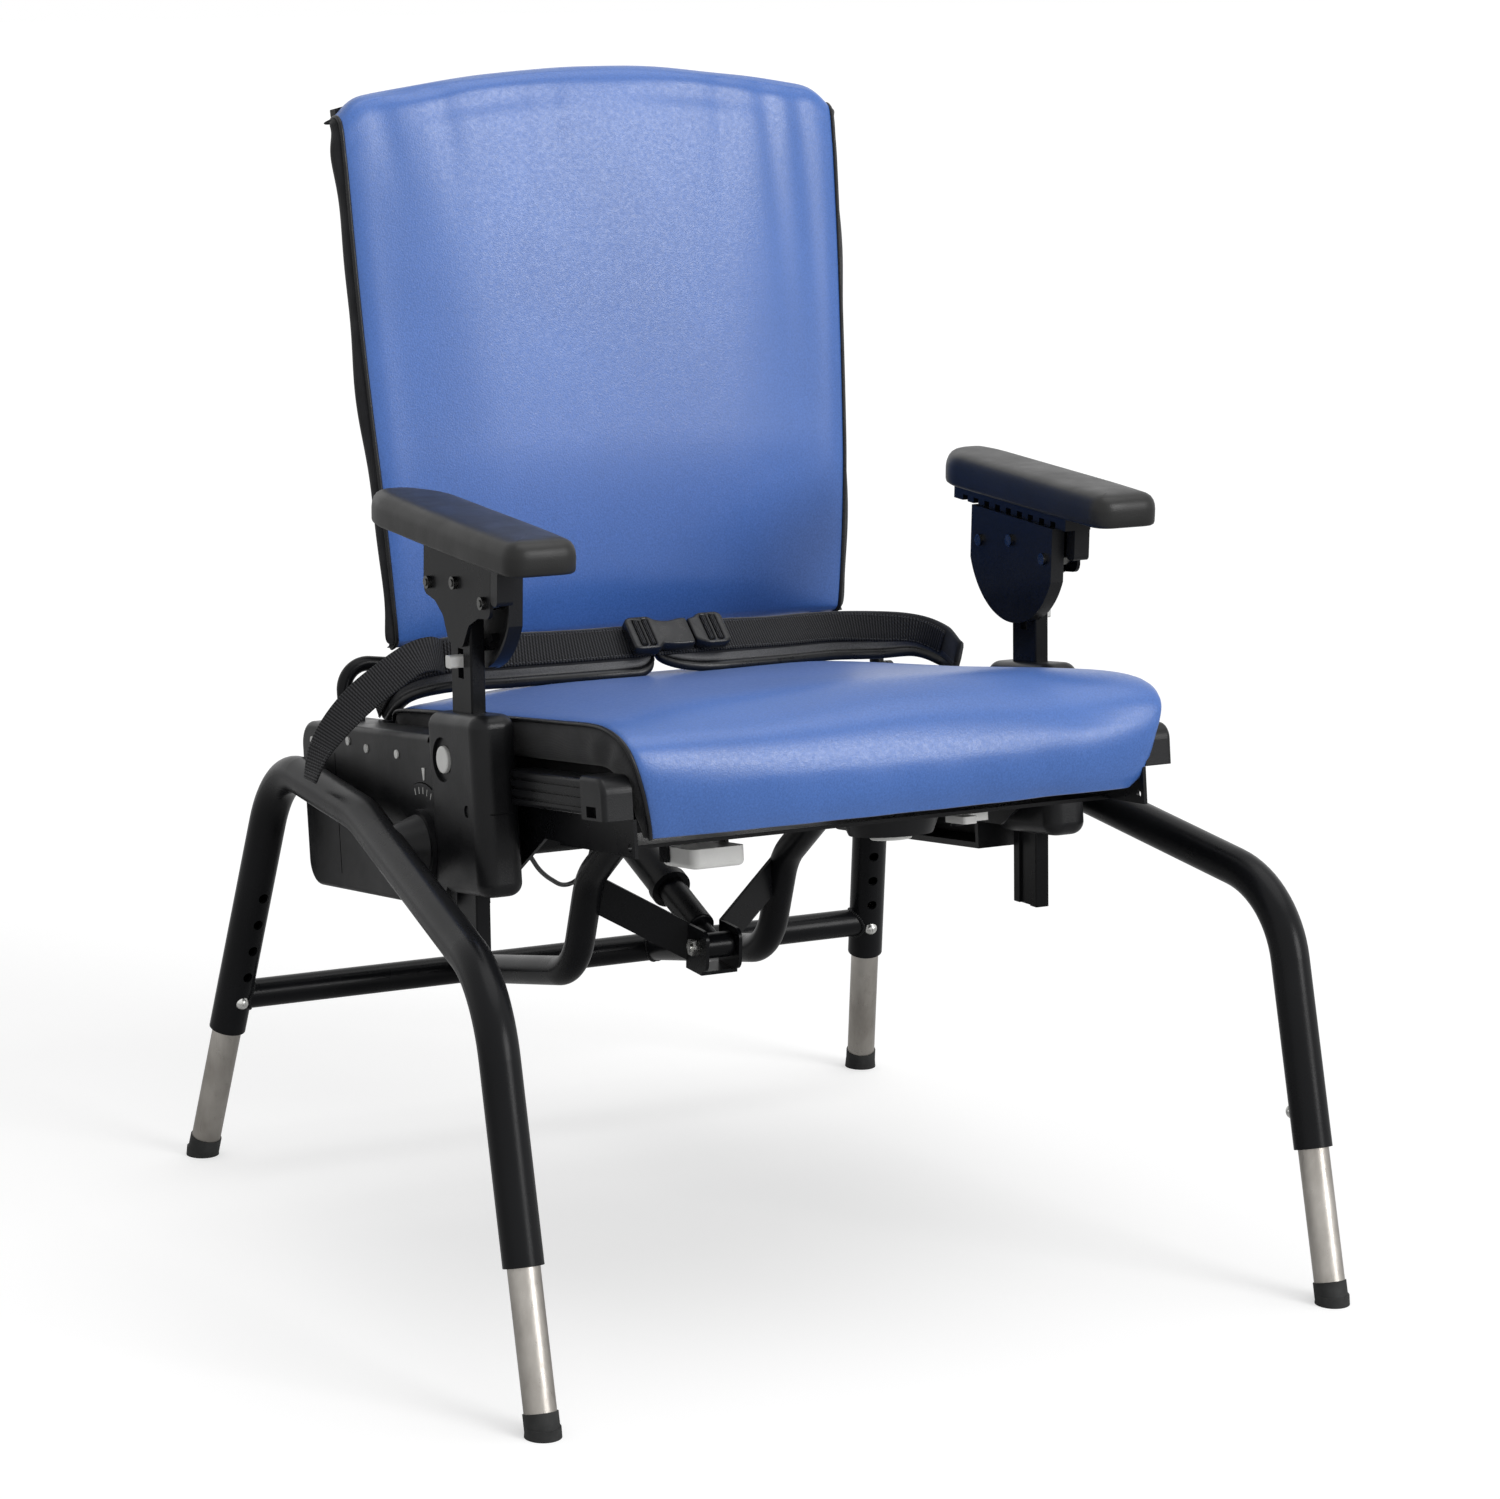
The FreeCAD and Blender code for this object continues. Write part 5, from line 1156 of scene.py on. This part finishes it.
# %% Repeat along a path
BEAD_SEED, BEAD_ROUNDS = 7, 2
BEAD_FACES = 20 * 4 ** (BEAD_ROUNDS - 1)
BEAD_INPUTS = {"Pitch": "NodeSocketFloat", "Size": "NodeSocketVector", "Vary": "NodeSocketFloat",
               "Seed": "NodeSocketInt", "Finish": "NodeSocketMaterial"}
BEAD_NODES = {
    "in": "NodeGroupInput", "curve": "GeometryNodeMeshToCurve", "even": "GeometryNodeResampleCurve",
    "tangent": "GeometryNodeInputTangent", "turn": "FunctionNodeAlignRotationToVector",
    "bead": "GeometryNodeMeshIcoSphere", "place": "GeometryNodeInstanceOnPoints",
    "vary": "FunctionNodeRandomValue", "plus": "ShaderNodeMath", "minus": "ShaderNodeMath",
    "scale": "ShaderNodeVectorMath", "real": "GeometryNodeRealizeInstances",
    "smooth": "GeometryNodeSetShadeSmooth", "paint": "GeometryNodeSetMaterial", "out": "NodeGroupOutput",
}
BEAD_LINKS = [
    ("in", "Geometry", "curve", "Mesh"), ("curve", "Curve", "even", "Curve"),
    ("in", "Pitch", "even", "Length"), ("even", "Curve", "place", "Points"),
    ("tangent", "Tangent", "turn", "Vector"), ("turn", "Rotation", "place", "Rotation"),
    ("bead", "Mesh", "place", "Instance"),
    ("in", "Vary", "plus", 1), ("in", "Vary", "minus", 1), ("minus", 0, "vary", "Min"),
    ("plus", 0, "vary", "Max"), ("in", "Seed", "vary", "Seed"), ("in", "Size", "scale", 0),
    ("vary", "Value", "scale", "Scale"), ("scale", "Vector", "place", "Scale"),
    ("place", "Instances", "real", "Geometry"), ("real", "Geometry", "smooth", "Geometry"),
    ("smooth", "Geometry", "paint", "Geometry"), ("in", "Finish", "paint", "Material"),
    ("paint", "Geometry", "out", "Geometry"),
]


def repeat_tree():
    """Tree that repeats a rounded bead along the edges of a path mesh."""
    tree = bpy.data.node_groups.new("repeat_along_path", "GeometryNodeTree")
    face = tree.interface
    face.new_socket("Geometry", in_out="INPUT", socket_type="NodeSocketGeometry")
    for label, kind in BEAD_INPUTS.items():
        face.new_socket(label, in_out="INPUT", socket_type=kind)
    face.new_socket("Geometry", in_out="OUTPUT", socket_type="NodeSocketGeometry")
    made = {key: tree.nodes.new(kind) for key, kind in BEAD_NODES.items()}
    made["even"].mode = "LENGTH"
    made["turn"].axis = "X"
    made["bead"].inputs["Radius"].default_value = 0.5
    made["bead"].inputs["Subdivisions"].default_value = BEAD_ROUNDS
    made["plus"].operation, made["minus"].operation = "ADD", "SUBTRACT"
    made["plus"].inputs[0].default_value = made["minus"].inputs[0].default_value = 1.0
    made["scale"].operation = "SCALE"
    for source, output, target, socket in BEAD_LINKS:
        tree.links.new(made[source].outputs[output], made[target].inputs[socket])
    return tree


bead_tree = repeat_tree()
inputs = [item for item in bead_tree.interface.items_tree if item.in_out == "INPUT"]
socket_id = {item.name: item.identifier for item in inputs}


def repeat_along(name, paths, pitch, size, vary, made, body):
    """Beads along paths (lists of points in metres), as one plain mesh on a body."""
    points, edges = [], []
    for path in paths:
        base = len(points)
        points += [tuple(p) for p in path]
        edges += [(base + i, base + i + 1) for i in range(len(path) - 1)]
    mesh = bpy.data.meshes.new(name)
    mesh.from_pydata(points, edges, [])
    piece = bpy.data.objects.new(name, mesh)
    scene.collection.objects.link(piece)
    modifier = piece.modifiers.new("repeat", "NODES")
    modifier.node_group = bead_tree
    for label, value in zip(BEAD_INPUTS, (pitch, size, vary, BEAD_SEED, made)):
        modifier[socket_id[label]] = value
    piece.data = plain_mesh(piece)
    piece.modifiers.clear()
    bpy.data.meshes.remove(mesh)
    piece.data.name = name
    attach(piece, body)
    return piece


print("repeat tree with", len(bead_tree.nodes), "nodes")

# %% [markdown]
# ## Weld beads
# Where one round tube meets another, the weld follows the curve in which they cut each other. Each
# point of that curve is found by running along the branch tube until it is on the main tube's skin.


# %% Weld beads
def weld_path(start, direction, branch_r, main_at, main_way, main_r, steps=48):
    """Closed line in metres where a branch tube leaves the skin of a main tube."""
    d = Vector(direction).normalized()
    m = Vector(main_way).normalized()
    e1 = d.cross(m).normalized()
    e2 = d.cross(e1)
    line = []
    for i in range(steps + 1):
        a = 2.0 * math.pi * i / steps
        p = Vector(start) + e1 * (branch_r * math.cos(a)) + e2 * (branch_r * math.sin(a))
        w = p - Vector(main_at)
        dp, wp = d - m * d.dot(m), w - m * w.dot(m)
        qa, qb, qc = dp.dot(dp), 2.0 * wp.dot(dp), wp.dot(wp) - main_r ** 2
        t = (-qb + math.sqrt(max(0.0, qb * qb - 4.0 * qa * qc))) / (2.0 * qa)
        line.append((p + d * t) * MM)
    return line


CROSS_Y, CROSS_Z, CROSS_R, FRAME_R = 342.3, 152.0, 12.7, 15.875
LEG_AXIS_X, LEG_IN = 315.58, 0.110
RISER_X = 93.0
RISER_LOW_WAY, RISER_TOP_WAY = (0, 118.0 - CROSS_Y, 53.5), (0, 73.7, -62.2)
welds = []
for side in (1.0, -1.0):
    leg_at, leg_way = (side * LEG_AXIS_X, CROSS_Y, CROSS_Z), (-LEG_IN * side, -REAR_LEAN, 1.0)
    welds.append(weld_path(leg_at, (-side, 0, 0), CROSS_R, leg_at, leg_way, FRAME_R))
    foot = (side * RISER_X, CROSS_Y, CROSS_Z)
    welds.append(weld_path(foot, RISER_LOW_WAY, CROSS_R, foot, (1, 0, 0), CROSS_R))
    top = (side * RISER_X, AXLE_Y, AXLE_Z)
    welds.append(weld_path(top, RISER_TOP_WAY, CROSS_R, top, (1, 0, 0), FRAME_R))
weld_beads = repeat_along("weld_beads", welds, pitch=0.0021, size=(0.0046, 0.0042, 0.0036), vary=0.14,
                          made=finishes["powder_coat"], body="base")

# %% [markdown]
# ## Belt stitches
# Two rows of lock stitch hold the strap on each wing, close to its edges, and a boxed row of stitches
# closes the fold at the tail's end. A stitch is a slim bead, about three times as long as its gap.

# %% Stitches
THREAD_LIFT = WEB_THICK / 2 + 0.05
BOX_FIRST, BOX_LAST, BOX_HALF = 70, 80, 12.5
# Black bonded thread with a slight shine.
finishes["thread"] = surface(
    "thread", (0.030, 0.031, 0.034), 0.45, skin=(2200.0, 2.0, 0.0002, 0.6),
    tone=(2200.0, 2.0, (0.018, 0.0185, 0.021), (0.050, 0.051, 0.055)))


def stitch_at(station, aside):
    """Point on a strap's face, aside from its middle."""
    here, across, face = station[:3]
    return on_seat(*(here + across * aside + face * THREAD_LIFT))


rows = [[stitch_at(station, share * station[3] / 2) for station in web]
        for web in (web_right, web_left) for share in (-0.86, 0.86)]
rows += [[stitch_at(tail[i], aside) for aside in range(-12, 13, 2)] for i in (BOX_FIRST, BOX_LAST)]
rows += [[stitch_at(station, aside) for station in tail[BOX_FIRST:BOX_LAST + 1]]
         for aside in (-BOX_HALF, BOX_HALF)]
stitches = repeat_along("belt_stitches", rows, pitch=0.0034, size=(0.0026, 0.0007, 0.0007), vary=0.05,
                        made=finishes["thread"], body="seat_frame")
print("stitches", len(stitches.data.polygons) // BEAD_FACES)

# %% [markdown]
# ## Strokes on the tilt dial
# The dial's strokes are moulded and filled with white. Each is a row of flat beads so close that they
# read as one painted line, laid in the engraved grooves of the CAD dial.

# %% Dial strokes
DIAL_FACE, DIAL_IN, DIAL_OUT = 277.0, 42.6, 47.4
DIAL_STEP, DIAL_TURN, STROKE_DEEP = 10.0, 4.0, 0.15
strokes = []
for side in (1.0, -1.0):
    for step in range(-2, 3):
        a = math.radians(step * DIAL_STEP + DIAL_TURN) - SEAT_TILT
        x = side * (DIAL_FACE - STROKE_DEEP)
        strokes.append([Vector((x, AXLE_Y - r * math.sin(a), AXLE_Z + r * math.cos(a))) * MM
                        for r in (DIAL_IN, (DIAL_IN + DIAL_OUT) / 2, DIAL_OUT)])
repeat_along("dial_strokes", strokes, pitch=0.0004, size=(0.0009, 0.0009, 0.0007), vary=0.0,
             made=finishes["white_nylon"], body="base")
print("dial strokes", len(strokes))
